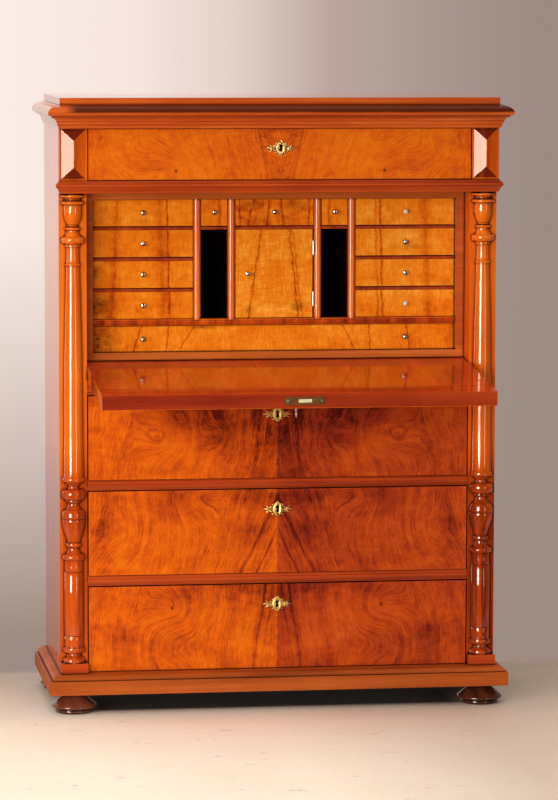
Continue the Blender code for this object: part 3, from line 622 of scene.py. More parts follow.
# Outlines in shares of each piece's size: (radius, height) where turned, or (height, reach)
column_shares = (
    (0.71, 1.0), (0.71, 0.9987), (0.895, 0.9975), (0.98, 0.9945),
    (0.895, 0.9915), (0.675, 0.9905), (0.625, 0.9875), (0.69, 0.9855),
    (0.625, 0.9835), (0.88, 0.9825), (0.973, 0.9797), (0.88, 0.977),
    (0.72, 0.9762), (0.726, 0.9605), (0.693, 0.9488), (0.591, 0.9405),
    (0.49, 0.935), (0.422, 0.9332), (0.473, 0.9306), (0.422, 0.9284),
    (0.625, 0.9274), (0.676, 0.9255), (0.625, 0.9234), (0.49, 0.922),
    (0.524, 0.9163), (0.642, 0.9089), (0.895, 0.9068), (0.98, 0.9016),
    (0.895, 0.8954), (0.625, 0.8937), (0.608, 0.8877), (0.517, 0.887),
    (0.541, 0.8526), (0.625, 0.8517), (0.652, 0.8494), (0.625, 0.8471),
    (0.551, 0.8462), (0.72, 0.6593), (0.804, 0.4003), (0.878, 0.3987),
    (0.932, 0.3937), (0.861, 0.39), (0.676, 0.3891), (0.659, 0.3851),
    (0.456, 0.3838), (0.473, 0.3742), (0.811, 0.3725), (0.963, 0.3682),
    (1.0, 0.3622), (0.946, 0.356), (0.777, 0.3523), (0.635, 0.3514),
    (0.635, 0.347), (0.456, 0.345), (0.49, 0.3376), (0.625, 0.3316),
    (0.811, 0.3289), (0.932, 0.3228), (0.966, 0.3115), (0.919, 0.3106),
    (0.966, 0.3093), (0.912, 0.2958), (0.726, 0.2784), (0.541, 0.2599),
    (0.642, 0.2589), (0.669, 0.2551), (0.642, 0.2515), (0.456, 0.2505),
    (0.49, 0.2426), (0.608, 0.2369), (0.811, 0.2347), (0.932, 0.2312),
    (0.895, 0.2247), (0.77, 0.2238), (0.77, 0.1986), (0.736, 0.1977),
    (0.787, 0.1967), (0.787, 0.0622), (0.75, 0.0613), (0.787, 0.06),
    (0.787, 0.0359), (0.878, 0.0351), (0.905, 0.0303), (0.861, 0.026),
    (0.557, 0.0246), (0.551, 0.0177), (0.709, 0.0142), (0.861, 0.0116),
    (0.905, 0.0064), (0.861, 0.0013), (0.76, 0.0))
foot_shares = (
    (0.49, 1.0), (0.5, 0.91), (0.545, 0.83), (0.96, 0.425),
    (1.0, 0.35), (0.98, 0.28), (0.85, 0.24), (0.78, 0.21),
    (0.818, 0.15), (0.818, 0.045), (0.78, 0.0))
knob_shares = (
    (0.0, 1.0), (0.45, 0.975), (0.85, 0.88), (1.0, 0.72), (0.86, 0.58),
    (0.46, 0.48), (0.44, 0.18), (0.74, 0.1), (0.74, 0.0))
cornice_shares = (
    (0.0, 0.085), (0.085, 0.115), (0.13, 0.165), (0.26, 0.245),
    (0.36, 0.37), (0.425, 0.5), (0.455, 0.69), (0.525, 0.72),
    (0.545, 0.91), (0.62, 0.985), (0.69, 0.995), (0.765, 0.93),
    (0.84, 0.79), (0.91, 0.57), (0.965, 0.3), (1.0, 0.08))
frieze_rail_shares = (
    (0.0, 0.1), (0.13, 0.15), (0.28, 0.34), (0.42, 0.66),
    (0.5, 0.95), (0.6, 1.0), (0.72, 0.93), (0.82, 0.66),
    (0.88, 0.34), (1.0, 0.26))
drawer_rail_shares = (
    (0.0, 0.35), (0.03, 0.58), (0.07, 0.58), (0.1, 0.15),
    (0.2, 0.0), (0.3, 0.1), (0.38, 0.52), (0.48, 0.86),
    (0.6, 1.0), (0.74, 0.96), (0.88, 0.72), (1.0, 0.35))


def scaled(shares, wide, tall, steps):
    return smooth_line([(share * wide, rise * tall) for share, rise in shares], steps)


def moulding(shares, reach, foot, height, cover=0.0):
    """Steps of a moulding for raised, from (height, reach) shares."""
    points = scaled([(out, rise) for rise, out in shares], reach, height, 4)
    return [(foot + point.y, point.x + cover) for point in points]


def add_walnut(name, shape, material, node=None, sharp=0.6):
    """Make a fixed piece of the case, which can stand for a CAD node."""
    piece = add_mesh(name, shape, "carcass", material, sharp)
    if node:
        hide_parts(node)
    return piece


def make_columns(material, base_material):
    """Split columns, each on a block."""
    radius = 0.0296
    block_height = 0.0248
    block_reach = 0.028
    bond = 0.003
    for name, side in (("column_left", -1), ("column_right", 1)):
        low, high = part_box(name)
        centre = (side * post_centre, front - joint_gap, low.z + block_height - bond)
        outline = scaled(column_shares, radius, high.z - centre[2], 3)
        add_walnut(name + "_shaft", turned(outline, centre, half=True), material, name, 0.75)
        shape = bmesh.new()
        block(shape, (side * post_centre - post_width / 2, front - block_reach, low.z),
              (side * post_centre + post_width / 2, front - joint_gap, low.z + block_height))
        bevelled(add_walnut(name + "_block", shape, base_material), 0.0012)


def make_feet(material):
    for name in ("foot_front_left", "foot_front_right", "foot_rear_left", "foot_rear_right"):
        low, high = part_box(name)
        middle = (low + high) / 2
        outline = scaled(foot_shares, (high.x - low.x) / 2, high.z - low.z, 5)
        shape = turned(outline, (middle.x, middle.y, low.z), steps=96)
        add_walnut(name + "_turning", shape, material, name, 0.9)


def make_cornice(material):
    projection = 0.03
    depth = 0.03
    inner = opening_half - joint_gap
    outer = case_half + joint_gap
    face = cornice_low.y + projection * 0.995
    plan = both_sides((
        (inner, front + depth, 0.0, 0.0), (inner, front - joint_gap, 0.0, 0.0),
        (outer, front - joint_gap, 0.0, 0.0), (outer, back, 0.0, 0.0),
        (outer, back, 1.0, 0.0), (outer, face, 1.0, -1.0)))
    profile = moulding(cornice_shares, projection, cornice_low.z, cornice_high.z - cornice_low.z)
    add_walnut("cornice_moulding", raised(plan, profile), material, "cornice")


def make_frieze_rail(material):
    """Moulding laid over the rail, which keeps its hollow for the bolt."""
    cover = 0.00012
    projection = 0.0095
    face = frieze_rail_low.y + projection
    height = frieze_rail_high.z - frieze_rail_low.z + 2 * cover
    profile = moulding(frieze_rail_shares, projection, frieze_rail_low.z - cover, height, cover)
    plan = both_sides(((case_half, front - joint_gap * 2, 1.0, 0.0), (case_half, face, 1.0, -1.0)))
    add_walnut("frieze_moulding", raised(plan, profile), material)
    dress("frieze_rail", material)


def make_base(material):
    """Base board with a quarter-round edge over a small fillet."""
    ledge = 0.0185
    fillet = 0.0025
    chamfer = 0.0006
    steps = 12
    half = base_high.x - ledge
    plan = both_sides(((half, back, 1.0, 0.0), (half, base_low.y + ledge, 1.0, -1.0)))
    foot = base_low.z + fillet
    rise = base_high.z - foot
    profile = [(base_low.z, ledge - chamfer), (base_low.z + chamfer, ledge)]
    for step in range(steps + 1):
        angle = math.pi / 2 * step / steps
        profile.append((foot + rise * math.sin(angle), ledge * math.cos(angle)))
    add_walnut("base_moulding", raised(plan, profile), material, "base_board")


def make_drawer_rails(material):
    """Moulded rails with the runners behind them."""
    projection = 0.004
    rail_depth = 0.06
    runner_width = 0.092
    inner = opening_half - joint_gap
    post_back = front + post_depth + joint_gap
    for name in ("drawer_rail_lower", "drawer_rail_upper"):
        low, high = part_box(name)
        runner = high.x - runner_width
        plan = both_sides((
            (inner, low.y + projection, 0.0, -1.0), (inner, post_back, 0.0, 0.0),
            (high.x, post_back, 0.0, 0.0), (high.x, high.y, 0.0, 0.0),
            (runner, high.y, 0.0, 0.0), (runner, front + rail_depth, 0.0, 0.0)))
        profile = moulding(drawer_rail_shares, projection, low.z, high.z - low.z)
        add_walnut(name + "_moulding", raised(plan, profile), material, name)


def arc_points(centre, radius, start, end, steps):
    return [(centre[0] + radius * math.cos(start + (end - start) * step / steps),
             centre[1] + radius * math.sin(start + (end - start) * step / steps))
            for step in range(steps + 1)]


def make_fall_rail(material):
    """Rail under the fall with its two beads and the hollow for the fall's tail."""
    low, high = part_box("fall_rail")
    face = front + 0.001
    bead = 0.003
    desk = low.z + 0.0355 - joint_gap
    sweep = math.hypot(fall_outer, 0.0308) + 0.0006
    pivot = (fall_pivot.y, fall_pivot.z)
    reach = math.asin((pivot[1] - desk) / sweep)
    outline = []
    for level in (low.z, low.z - joint_gap + 0.016):
        outline += arc_points((face, level + bead), bead, math.pi * 3 / 2, math.pi / 2, 14)
    outline += [(face, desk)]
    outline += arc_points(pivot, sweep, math.pi + reach, math.pi * 2 - reach, 30)
    outline += [(pivot[0] + sweep, desk), (pivot[0] + sweep, high.z), (high.y, high.z),
                (high.y, low.z)]
    add_walnut("fall_rail_moulding", along(outline, low.x, high.x, "X"), material, "fall_rail")


def dress(name, material, bevel=0.0):
    """Give a CAD node its material, and soften its edges."""
    piece = nodes[name]
    piece.data.materials.clear()
    piece.data.materials.append(material)
    if bevel:
        bevelled(piece, bevel)


def make_knobs(white, worn, ivory):
    worn_names = ("left_drawer_1_knob", "right_drawer_2_knob", "wide_drawer_knob_left",
                  "wide_drawer_knob_right")
    ivory_names = ("right_drawer_1_knob", "right_drawer_4_knob")
    bodies = {node: body for body, members in frame["record"]["behaviour"]["bodies"].items()
              for node in members}
    for name in sorted(name for name in nodes if "knob" in name):
        low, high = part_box(name)
        radius = (high.x - low.x) / 2
        outline = [(point.x, point.y)
                   for point in scaled(knob_shares, radius, high.y - low.y, 5)]
        outline[0] = (0.0, outline[0][1])
        centre = ((low.x + high.x) / 2, high.y, (low.z + high.z) / 2)
        finish = ivory if name in ivory_names else worn if name in worn_names else white
        piece = add_mesh(name + "_turning", turned(outline, centre, axis="Y", steps=40),
                         bodies[name],
                         finish, 1.2)
        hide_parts(name)


# Beads of the nest: half their width, their height and the fillets beside them
bead_half = 0.0077
bead_rise = 0.0063
bead_fillet = 0.0009
bead_steps = 24


def half_bead(centre):
    """Outline of a half-round bead with a small fillet on each side."""
    face = drawer_plane
    foot = face - bead_fillet
    far = bead_half + bead_fillet
    points = [(centre - far, face), (centre - far, foot)]
    for step in range(bead_steps + 1):
        angle = math.pi * step / bead_steps
        points.append((centre - bead_half * math.cos(angle), foot - bead_rise * math.sin(angle)))
    return points + [(centre + far, foot), (centre + far, face)]


def make_nest_beads(material):
    """Beads on the fronts of the four uprights and of the shelf under them."""
    bond = 0.003
    for name, centre in (("nest_bead_left_outer", -outer_upright),
                         ("nest_bead_left_inner", -inner_upright),
                         ("nest_bead_right_inner", inner_upright),
                         ("nest_bead_right_outer", outer_upright)):
        shape = along(half_bead(centre), rows_level - bond, divider_high.z, "Z")
        add_walnut(name, shape, material, sharp=0.9)
    outline = [(deep, high) for high, deep in half_bead((divider_low.z + rows_level) / 2)]
    add_walnut("nest_bead_cross", along(outline, divider_low.x, divider_high.x, "X"), material,
               sharp=0.9)


# Ends of a hinge's pin and grooves between its knuckles: share of the radius, place
hinge_ball = ((0.0, 0.0022), (0.55, 0.0018), (0.75, 0.0011), (0.55, 0.0004), (0.5, 0.0),
              (0.94, -0.0002))
hinge_groove = ((0.98, -0.0005), (0.8, -0.00025), (0.8, 0.00025), (0.98, 0.0005))


def make_hinges(material):
    """Butt hinges: five knuckles with a ball at each end, and a leaf on the case."""
    leaf = 0.001
    axis_x = door_high.x + hinge_gap / 2
    for name in ("door_hinge_lower", "door_hinge_upper"):
        low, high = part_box(name)
        radius = axis_x - low.x
        length = high.z - low.z
        outline = [(radius * share, -far) for share, far in hinge_ball]
        for knuckle in range(1, 5):
            outline += [(radius * share, length * knuckle / 5 + place)
                        for share, place in hinge_groove]
        outline += [(radius * share, length + far) for share, far in reversed(hinge_ball)]
        shape = turned(outline, (axis_x, low.y + radius, low.z), steps=32)
        block(shape, (high.x - leaf, low.y + radius * 1.05, low.z), high)
        block(shape, (axis_x + radius * 0.3, low.y + radius * 0.7, low.z),
              (high.x, low.y + radius * 1.1, high.z))
        piece = add_mesh(name + "_butt", shape, "carcass", material, 0.5)
        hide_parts(name)
        shape = bmesh.new()
        block(shape, (door_high.x - 0.0001, door_low.y + 0.0004, low.z),
              (door_high.x + 0.0008, door_high.y - 0.0012, high.z))
        add_mesh(name + "_door_leaf", shape, "cupboard_door", material, 0.5)


def pierced(outer, inner, levels):
    """Plate with a hole, from two rings of (x, z) points and its (share, rise) steps.

    A step's share runs from 0 at the outer ring to 1 at the hole."""
    shape = bmesh.new()
    rings = [[shape.verts.new((a * (1 - share) + c * share, -rise, b * (1 - share) + d * share))
              for (a, b), (c, d) in zip(outer, inner)] for share, rise in levels]
    bridge(shape, rings + rings[:1])
    return shape


def ring_points(count, reach):
    """Points round a middle, each as far off as the reach at its angle."""
    points = []
    for step in range(count):
        angle = 2 * math.pi * (step + 0.5) / count
        far = reach(angle)
        points.append((far * math.cos(angle), far * math.sin(angle)))
    return points


def box_reach(half_wide, half_tall, corner=0.0):
    """Reach of a rectangle with rounded corners, for ring_points."""
    def reach(angle):
        across = abs(math.cos(angle))
        high = abs(math.sin(angle))
        far = min(half_wide / max(across, 0.0001), half_tall / max(high, 0.0001))
        a = half_wide - corner
        b = half_tall - corner
        if corner > 0.0 and far * across > a and far * high > b:
            lean = a * across + b * high
            far = lean + math.sqrt(max(lean * lean - a * a - b * b + corner * corner, 0.0))
        return far
    return reach


def tube(shape, path, widths, lift):
    """Add a soft half-sunk rib along a path of (x, z) points in the front's plane."""
    sides = 10
    flatness = 0.9
    line = smooth_line(path, 6)
    sizes = smooth_line([(wide, 0.0) for wide in widths], 6)
    rings = []
    for index, point in enumerate(line):
        before = line[max(index - 1, 0)]
        after = line[min(index + 1, len(line) - 1)]
        way = (after - before).normalized()
        side = Vector((-way.y, way.x))
        wide = sizes[index].x
        ring = []
        for step in range(sides):
            angle = 2 * math.pi * step / sides
            shift = side * (wide * math.cos(angle))
            deep = -lift - wide * flatness * math.sin(angle)
            ring.append(shape.verts.new((point.x + shift.x, deep, point.y + shift.y)))
        rings.append(ring)
    bridge(shape, rings, caps=True)


# Ribs of a keyhole plate in its own plane, right half, with their widths
plate_ribs = (
    (((0.009, 0.0002), (0.014, -0.0006), (0.02, -0.0012), (0.0262, 0.0006), (0.0332, -0.0004)),
     (0.0026, 0.002, 0.0029, 0.0026, 0.0009)),
    (((0.0095, 0.003), (0.0138, 0.005), (0.0172, 0.0036), (0.016, 0.001)),
     (0.0014, 0.0015, 0.0013, 0.0009)),
    (((0.01, -0.0038), (0.0146, -0.0066), (0.0178, -0.0046), (0.0164, -0.0018)),
     (0.0014, 0.0015, 0.0013, 0.0009)),
    (((0.0198, -0.0008), (0.0228, 0.0044), (0.0266, 0.0078)), (0.0017, 0.0019, 0.0006)),
    (((0.0198, -0.0018), (0.0234, -0.006), (0.0272, -0.0078)), (0.0017, 0.0019, 0.0006)),
    (((0.0056, 0.0092), (0.0092, 0.0114), (0.0122, 0.01), (0.0112, 0.0072)),
     (0.0015, 0.0016, 0.0013, 0.0008)),
    (((0.0, 0.0186), (0.003, 0.0146), (0.0064, 0.0112)), (0.001, 0.0021, 0.0018)),
    (((0.0056, -0.0096), (0.0096, -0.0116), (0.0134, -0.0124)), (0.0018, 0.0016, 0.0006)))
plate_foot = (((-0.0056, -0.0128), (0.0, -0.0158), (0.0056, -0.0128)), (0.0015, 0.0025, 0.0015))
plate_levels = ((0.0, 0.0), (0.0, 0.0009), (0.1, 0.0016), (0.3, 0.0025), (0.48, 0.0027),
                (0.66, 0.0022), (0.84, 0.0012), (0.92, 0.0015), (1.0, 0.0013), (1.0, 0.0))
plate_stretch = 1.06
plate_half_wide = 0.0112
plate_half_tall = 0.0142

# How far each plate and its keyhole sit to the right of the front's middle and above the lock
keyhole_shifts = {"frieze_drawer": (-0.0002, 0.002), "large_drawer_top": (-0.0032, 0.0),
                  "large_drawer_middle": (-0.003, 0.0), "large_drawer_bottom": (-0.0036, 0.0)}


def hole_level(name):
    """Height of a front's visible keyhole."""
    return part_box(name)[1].z - keyhole_drop - keyhole_middle + keyhole_shifts[name][1]


def keyhole_reach(angle):
    """Reach of the keyhole's edge: two round lobes joined by a waist."""
    across = math.cos(angle)
    high = math.sin(angle)
    far = 0.0
    for step in range(40):
        reach = 0.0095 * (step + 1) / 40
        x = reach * across
        z = reach * high
        top = math.hypot(x, z - 0.0046) < 0.0043
        low = math.hypot(x, z + 0.0046) < 0.004
        waist = abs(x) < 0.0031 and abs(z) < 0.005
        if top or low or waist:
            far = reach
    return far


def plate_reach(angle):
    """Reach of the keyhole plate's oval."""
    return 1 / math.hypot(math.cos(angle) / plate_half_wide, math.sin(angle) / plate_half_tall)


def make_keyhole_plates(drawer_material, frieze_material):
    """Oval plates with leafy ribs round the four visible keyholes."""
    count = 72
    rib_lift = 0.0004
    foot_lift = 0.0006
    for name in keyhole_shifts:
        shape = pierced(ring_points(count, plate_reach), ring_points(count, keyhole_reach),
                        plate_levels)
        for path, widths in plate_ribs:
            tube(shape, path, widths, rib_lift)
            tube(shape, [(-x, z) for x, z in path], widths, rib_lift)
        tube(shape, *plate_foot, foot_lift)
        bmesh.ops.scale(shape, vec=(plate_stretch, 1.0, 1.0), verts=shape.verts)
        shift_shape(shape, (keyhole_shifts[name][0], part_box(name)[0].y + 0.0001,
                            hole_level(name)))
        material = frieze_material if name == "frieze_drawer" else drawer_material
        add_mesh(name + "_keyhole_plate", shape, name, material, 0.9)


def open_out(shape):
    """Turns what is built on the shut fall, from its pivot, to the open fall."""
    turn_shape(shape, Matrix.Rotation(fall_tilt, 3, "X"))
    shift_shape(shape, fall_pivot)


def screw(radius, rise, slot_turn, to):
    """Domed, slotted screw head that faces the end or the edge of the fall."""
    head = bmesh.new()
    slot = radius * 0.13
    for side in (-1, 1):
        points = []
        for step in range(17):
            angle = math.acos(slot / radius) * (1 - step / 8)
            points.append((radius * math.sin(angle), side * max(radius * math.cos(angle), slot)))
        rings = [[head.verts.new((x * share, -rise * height,
                                  side * (slot + (abs(z) - slot) * share))) for x, z in points]
                 for share, height in ((1.0, 0.0), (1.0, 0.35), (0.86, 0.75), (0.55, 1.0))]
        bridge(head, rings, caps=True)
    floor_points = arc_points((0.0, 0.0), radius * 0.97, 0.0, 2 * math.pi, 24)[:-1]
    head.faces.new([head.verts.new((x, -rise * 0.2, z)) for x, z in floor_points])
    turn_shape(head, Matrix.Rotation(slot_turn, 3, "Y"))
    turn_shape(head, to)
    return head


def make_lock_plate(material):
    """Lock plate with round corners and a slot for the bolt."""
    count = 96
    bolt_offset = 0.0013
    bolt_half = (0.0159, 0.0044)
    thick = lock_plate_thickness
    outer = ring_points(count, box_reach(lock_plate_width / 2, lock_plate_depth / 2, lock_corner))
    inner = [(x + bolt_offset, z) for x, z in ring_points(count, box_reach(*bolt_half))]
    levels = ((0.0, 0.0), (0.0, thick - 0.0003), (0.012, thick), (1.0, thick), (1.0, 0.0))
    shape = pierced(outer, inner, levels)
    turn_shape(shape, Matrix.Rotation(-math.pi / 2, 3, "X"))
    shift_shape(shape, (lock_middle, fall_middle, fall_top - thick))
    open_out(shape)
    plate = add_mesh("lock_face", shape, "fall", material, 0.5)
    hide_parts("lock_plate")


def make_lock_case(material):
    """The two walls of the lock's case, the outer one open round the key."""
    wall = 0.0012
    key_room = 0.009
    low = Vector((lock_middle - lock_case_half, fall_middle - lock_case_deep,
                  fall_top - lock_case_drop))
    high = Vector((lock_middle + lock_case_half, fall_middle + lock_case_deep,
                   fall_top - lock_recess))
    wall_back = low.y + wall
    sill = fall_top - key_drop - key_room
    shape = bmesh.new()
    block(shape, low, (high.x, wall_back, sill))
    block(shape, (key_middle + key_room, low.y, sill), (high.x, wall_back, high.z))
    block(shape, (low.x, low.y, sill), (key_middle - key_room, wall_back, high.z))
    block(shape, (low.x, high.y - wall, low.z), high)
    open_out(shape)
    add_mesh("lock_case", shape, "fall", material, 0.5)


def make_lock_corners(material):
    """Wood between the plate's round corners and its recess."""
    x = lock_plate_width / 2 + joint_gap
    z = lock_plate_depth / 2 + joint_gap
    arc = arc_points((x - lock_corner, z - lock_corner), lock_corner - joint_gap, 0.0,
                     math.pi / 2, 10)
    outline = [(x, z)] + arc[::-1]
    top = fall_top - 0.00005
    shape = bmesh.new()
    for side in (-1, 1):
        for up in (-1, 1):
            rings = [[shape.verts.new((lock_middle + side * a, fall_middle + up * b, level))
                      for a, b in outline] for level in (fall_top - lock_recess, top)]
            bridge(shape, rings, caps=True)
    open_out(shape)
    add_mesh("lock_recess_corners", shape, "fall", material, 0.5)


def make_screws(material):
    """Screws of the lock plate, and smaller ones in the two ends of the fall."""
    sink = 0.0001
    lock_offset = 0.0405
    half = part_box("fall_board")[1].x + sink
    rows = []
    for side, word, turn in ((-1, "left", 0.5), (1, "right", 1.2)):
        place = (lock_middle + side * lock_offset, fall_middle, fall_top - sink)
        head = screw(0.0034, 0.001, turn, Matrix.Rotation(-math.pi / 2, 3, "X"))
        rows.append(("lock_screw_" + word, place, head))
        for index, height in enumerate((0.02, 0.052)):
            head = screw(0.003, 0.0007, 0.4 + index, Matrix.Rotation(side * math.pi / 2, 3, "Z"))
            rows.append(("pivot_screw_%s_%d" % (word, index + 1), (side * half, 0.0, height), head))
    for name, place, head in rows:
        shift_shape(head, place)
        open_out(head)
        add_mesh(name, head, "fall", material, 0.4)


# The key's collars, from the shank to the bow: radius, distance before its shoulder
key_collars = ((0.0026, 0.0125), (0.0036, 0.012), (0.004, 0.0108), (0.0036, 0.0096),
               (0.0026, 0.0091), (0.0026, 0.005), (0.0034, 0.0046), (0.004, 0.0034),
               (0.0042, 0.0022), (0.0034, 0.0008), (0.0022, 0.0), (0.0018, -0.0012),
               (0.0, -0.0012))


def make_key(material):
    """Key with a ring bow, two collars, a shank and a notched bit."""
    length = key_tip - fall_outer + key_shoulder
    outline = [(0.0, 0.0), (0.002, 0.0), (0.0026, 0.0006)]
    outline += [(radius, length - far) for radius, far in key_collars]
    shape = turned(outline, (0.0, key_tip, 0.0), axis="Y", steps=32)
    bit_half = 0.0012
    bit_start = fall_middle - lock_case_deep + 0.0006
    for start, end, reach in ((0.0, 0.002, 0.0075), (0.0018, 0.0036, 0.0058),
                              (0.0034, 0.0055, 0.0075)):
        block(shape, (-bit_half, bit_start + start, -reach),
              (bit_half, bit_start + end, -bit_half))
    bow = 0.0078
    wire = 0.0017
    middle = fall_outer - key_shoulder - bow + wire / 2
    rings = []
    for sine, cosine in arc_points((0.0, 0.0), 1.0, math.pi / 2, -math.pi * 3 / 2, 48)[:-1]:
        ring = []
        for part in range(14):
            angle = 2 * math.pi * part / 14
            far = bow + wire * math.cos(angle)
            ring.append(shape.verts.new((wire * 0.9 * math.sin(angle), middle + far * sine,
                                         far * cosine)))
        rings.append(ring)
    bridge(shape, rings + rings[:1])
    shift_shape(shape, (key_middle, 0.0, fall_top - key_drop))
    open_out(shape)
    piece = add_mesh("key_forged", shape, "key", material, 0.9)
    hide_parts("key")


def make_wood():
    """The plain boards' materials, by name."""
    # Depth behind which the nest's walls get black painted shade.
    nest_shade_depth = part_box("nest_dividers")[0].y + 0.014
    # Bands of painted shade: in the creases of the rails and cornice, under each small drawer, on
    # the shelf below the rows and across the cross bead.
    rail_shade_lines = ((1.3, 0.0016, 0.3), (1.2925, 0.0014, 0.4), (1.2855, 0.0014, 0.35),
                  (0.5665, 0.0013, 0.4), (0.557, 0.0013, 0.25), (0.3375, 0.0013, 0.35),
                  (0.3265, 0.0013, 0.25))
    cornice_shade_lines = ((1.457, 0.0014, 0.45), (1.453, 0.001, 0.25), (1.443, 0.0014, 0.45),
                     (1.435, 0.0014, 0.4))
    shelves = [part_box("left_drawer_%d" % row)[0].z for row in range(1, 5)]
    shelf_shade_lines = [(height - 0.0012, 0.0022, 0.7) for height in shelves]
    shelf_shade_lines.append((min(shelves) - 0.0095, 0.013, 0.62))
    cross = rows_level - 0.0085
    cross_shade_lines = ((cross, 0.012, 0.4), (cross + 0.0042, 0.0011, 0.3),
                   (cross - 0.0042, 0.0011, 0.3))
    return {
        "side": board_wood("side_wood", "Z", post_stops, -0.15, right_shade=0.1, low_shade=0.34),
        "column": board_wood("column_wood", "Z", post_stops, -0.1, gloss=0.09, right_shade=0.06,
                             low_shade=0.38),
        "rail": board_wood("rail_wood", "X", rail_stops, -0.12, right_shade=0.12, shade_lines=rail_shade_lines),
        "cornice": board_wood("cornice_wood", "X", rail_stops, -0.31, shade_above=1.4668,
                              shade_lines=cornice_shade_lines),
        "top": board_wood("top_wood", "X", rail_stops, -0.25),
        "corner": board_wood("corner_wood", "Z", post_stops, 0.12, gloss=0.07, coat=0.5,
                             steep_shade=True),
        "plinth": board_wood("plinth_wood", "X", brown_stops, -0.02, gloss=0.25, coat=0.3),
        "dark": board_wood("foot_wood", "Z", dark_stops, -0.16, gloss=0.12, right_shade=0.3),
        "nest": board_wood("nest_wood", "Z", rail_stops, 0.0, gloss=0.1, shade_behind=nest_shade_depth,
                           shade_lines=shelf_shade_lines),
        "nest_beads": board_wood("nest_bead_wood", "Z", post_stops, -0.1, gloss=0.12, coat=0.8,
                                 shade_lines=cross_shade_lines),
        "nest_case": board_wood("nest_case_wood", "X", brown_stops, -0.16, gloss=0.12,
                                shade_behind=nest_shade_depth),
        "bare": bare_wood("back_wood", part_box("back_panel")[0].y + 0.0012),
    }


def make_drawer_veneers():
    """Materials of the large drawers' figured fronts."""
    figures = {
        "frieze_drawer": {
            "level": 1.366, "span": 0.126, "lean": -0.3, "bands": 46.0, "seed": 1.0,
            "tone": 0.6, "ripples": (0.056, 0.0315, 0.1), "contrast": 0.45, "sway": 0.035,
            "smoke": 0.12, "mottle": 0.5,
            "knots": ((0.256, 1.3235, 0.075, 0.055, 0.085), (0.4, 1.36, 0.07, 0.05, -0.04)),
            "eyes": ((0.256, 1.3235),),
            "clouds_and_shadows": ((0.0, 1.3, 0.05, 0.03, 0.1),)},
        "large_drawer_top": {
            "level": 0.674, "span": 0.153, "lean": 0.13, "bands": 42.0, "seed": 21.0,
            "tone": 0.58, "contrast": 0.6, "sway": 0.06, "deep_leaf_tone_and_shade": 0.85, "smoke": 0.2,
            "leaf_tone_and_shade": 0.04,
            "knots": ((0.275, 0.678, 0.055, 0.05, 0.1), (0.148, 0.674, 0.03, 0.035, 0.05)),
            # These paint the open fall's shadow on this drawer, as well as dark figure.
            "clouds_and_shadows": ((0.0, 0.69, 0.13, 0.18, 0.38), (0.17, 0.72, 0.07, 0.05, 0.24),
                       (0.2, 0.79, 0.2, 0.05, 0.2)),
            "vees": ((1.1, 0.115, 0.008, 0.14), (0.86, 0.16, 0.006, 0.1))},
        "large_drawer_middle": {
            "level": 0.439, "span": 0.2, "lean": 0.26, "bands": 52.0, "seed": 41.0,
            "tone": 0.57, "contrast": 0.6, "sway": 0.03, "deep_leaf_tone_and_shade": 0.9, "smoke": 0.2,
            "knots": ((0.2125, 0.525, 0.07, 0.06, -0.075), (0.36, 0.43, 0.07, 0.09, 0.05)),
            "clouds_and_shadows": ((0.066, 0.465, 0.05, 0.08, 0.2), (0.0, 0.53, 0.34, 0.03, 0.24),
                       (0.43, 0.44, 0.03, 0.1, 0.2)),
            "vees": ((0.524, 0.48, 0.008, 0.24), (0.492, 0.47, 0.004, 0.12),
                     (0.447, 0.45, 0.006, 0.24), (0.415, 0.45, 0.004, 0.12))},
        "large_drawer_bottom": {
            "level": 0.203, "span": 0.2, "lean": 0.14, "bands": 44.0, "seed": 63.0,
            "tone": 0.53, "contrast": 0.55, "sway": 0.035, "deep_leaf_tone_and_shade": 0.9, "smoke": 0.16,
            "knots": ((0.26, 0.2515, 0.055, 0.045, 0.08), (0.275, 0.157, 0.06, 0.07, -0.06)),
            "eyes": ((0.26, 0.2515),),
            "clouds_and_shadows": ((0.0, 0.24, 0.05, 0.12, 0.16), (0.12, 0.31, 0.2, 0.03, 0.12)),
            "vees": ((0.49, 0.15, 0.007, 0.26), (0.36, 0.15, 0.005, 0.12))},
    }
    made = {}
    for name, figure in figures.items():
        figure["hole"] = hole_level(name)
        figure["centre"] = keyhole_shifts[name][0]
        face = (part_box(name)[0].y, 0.022)
        made[name] = veneer(name + "_veneer", face, figure, bright_stops)
    return made


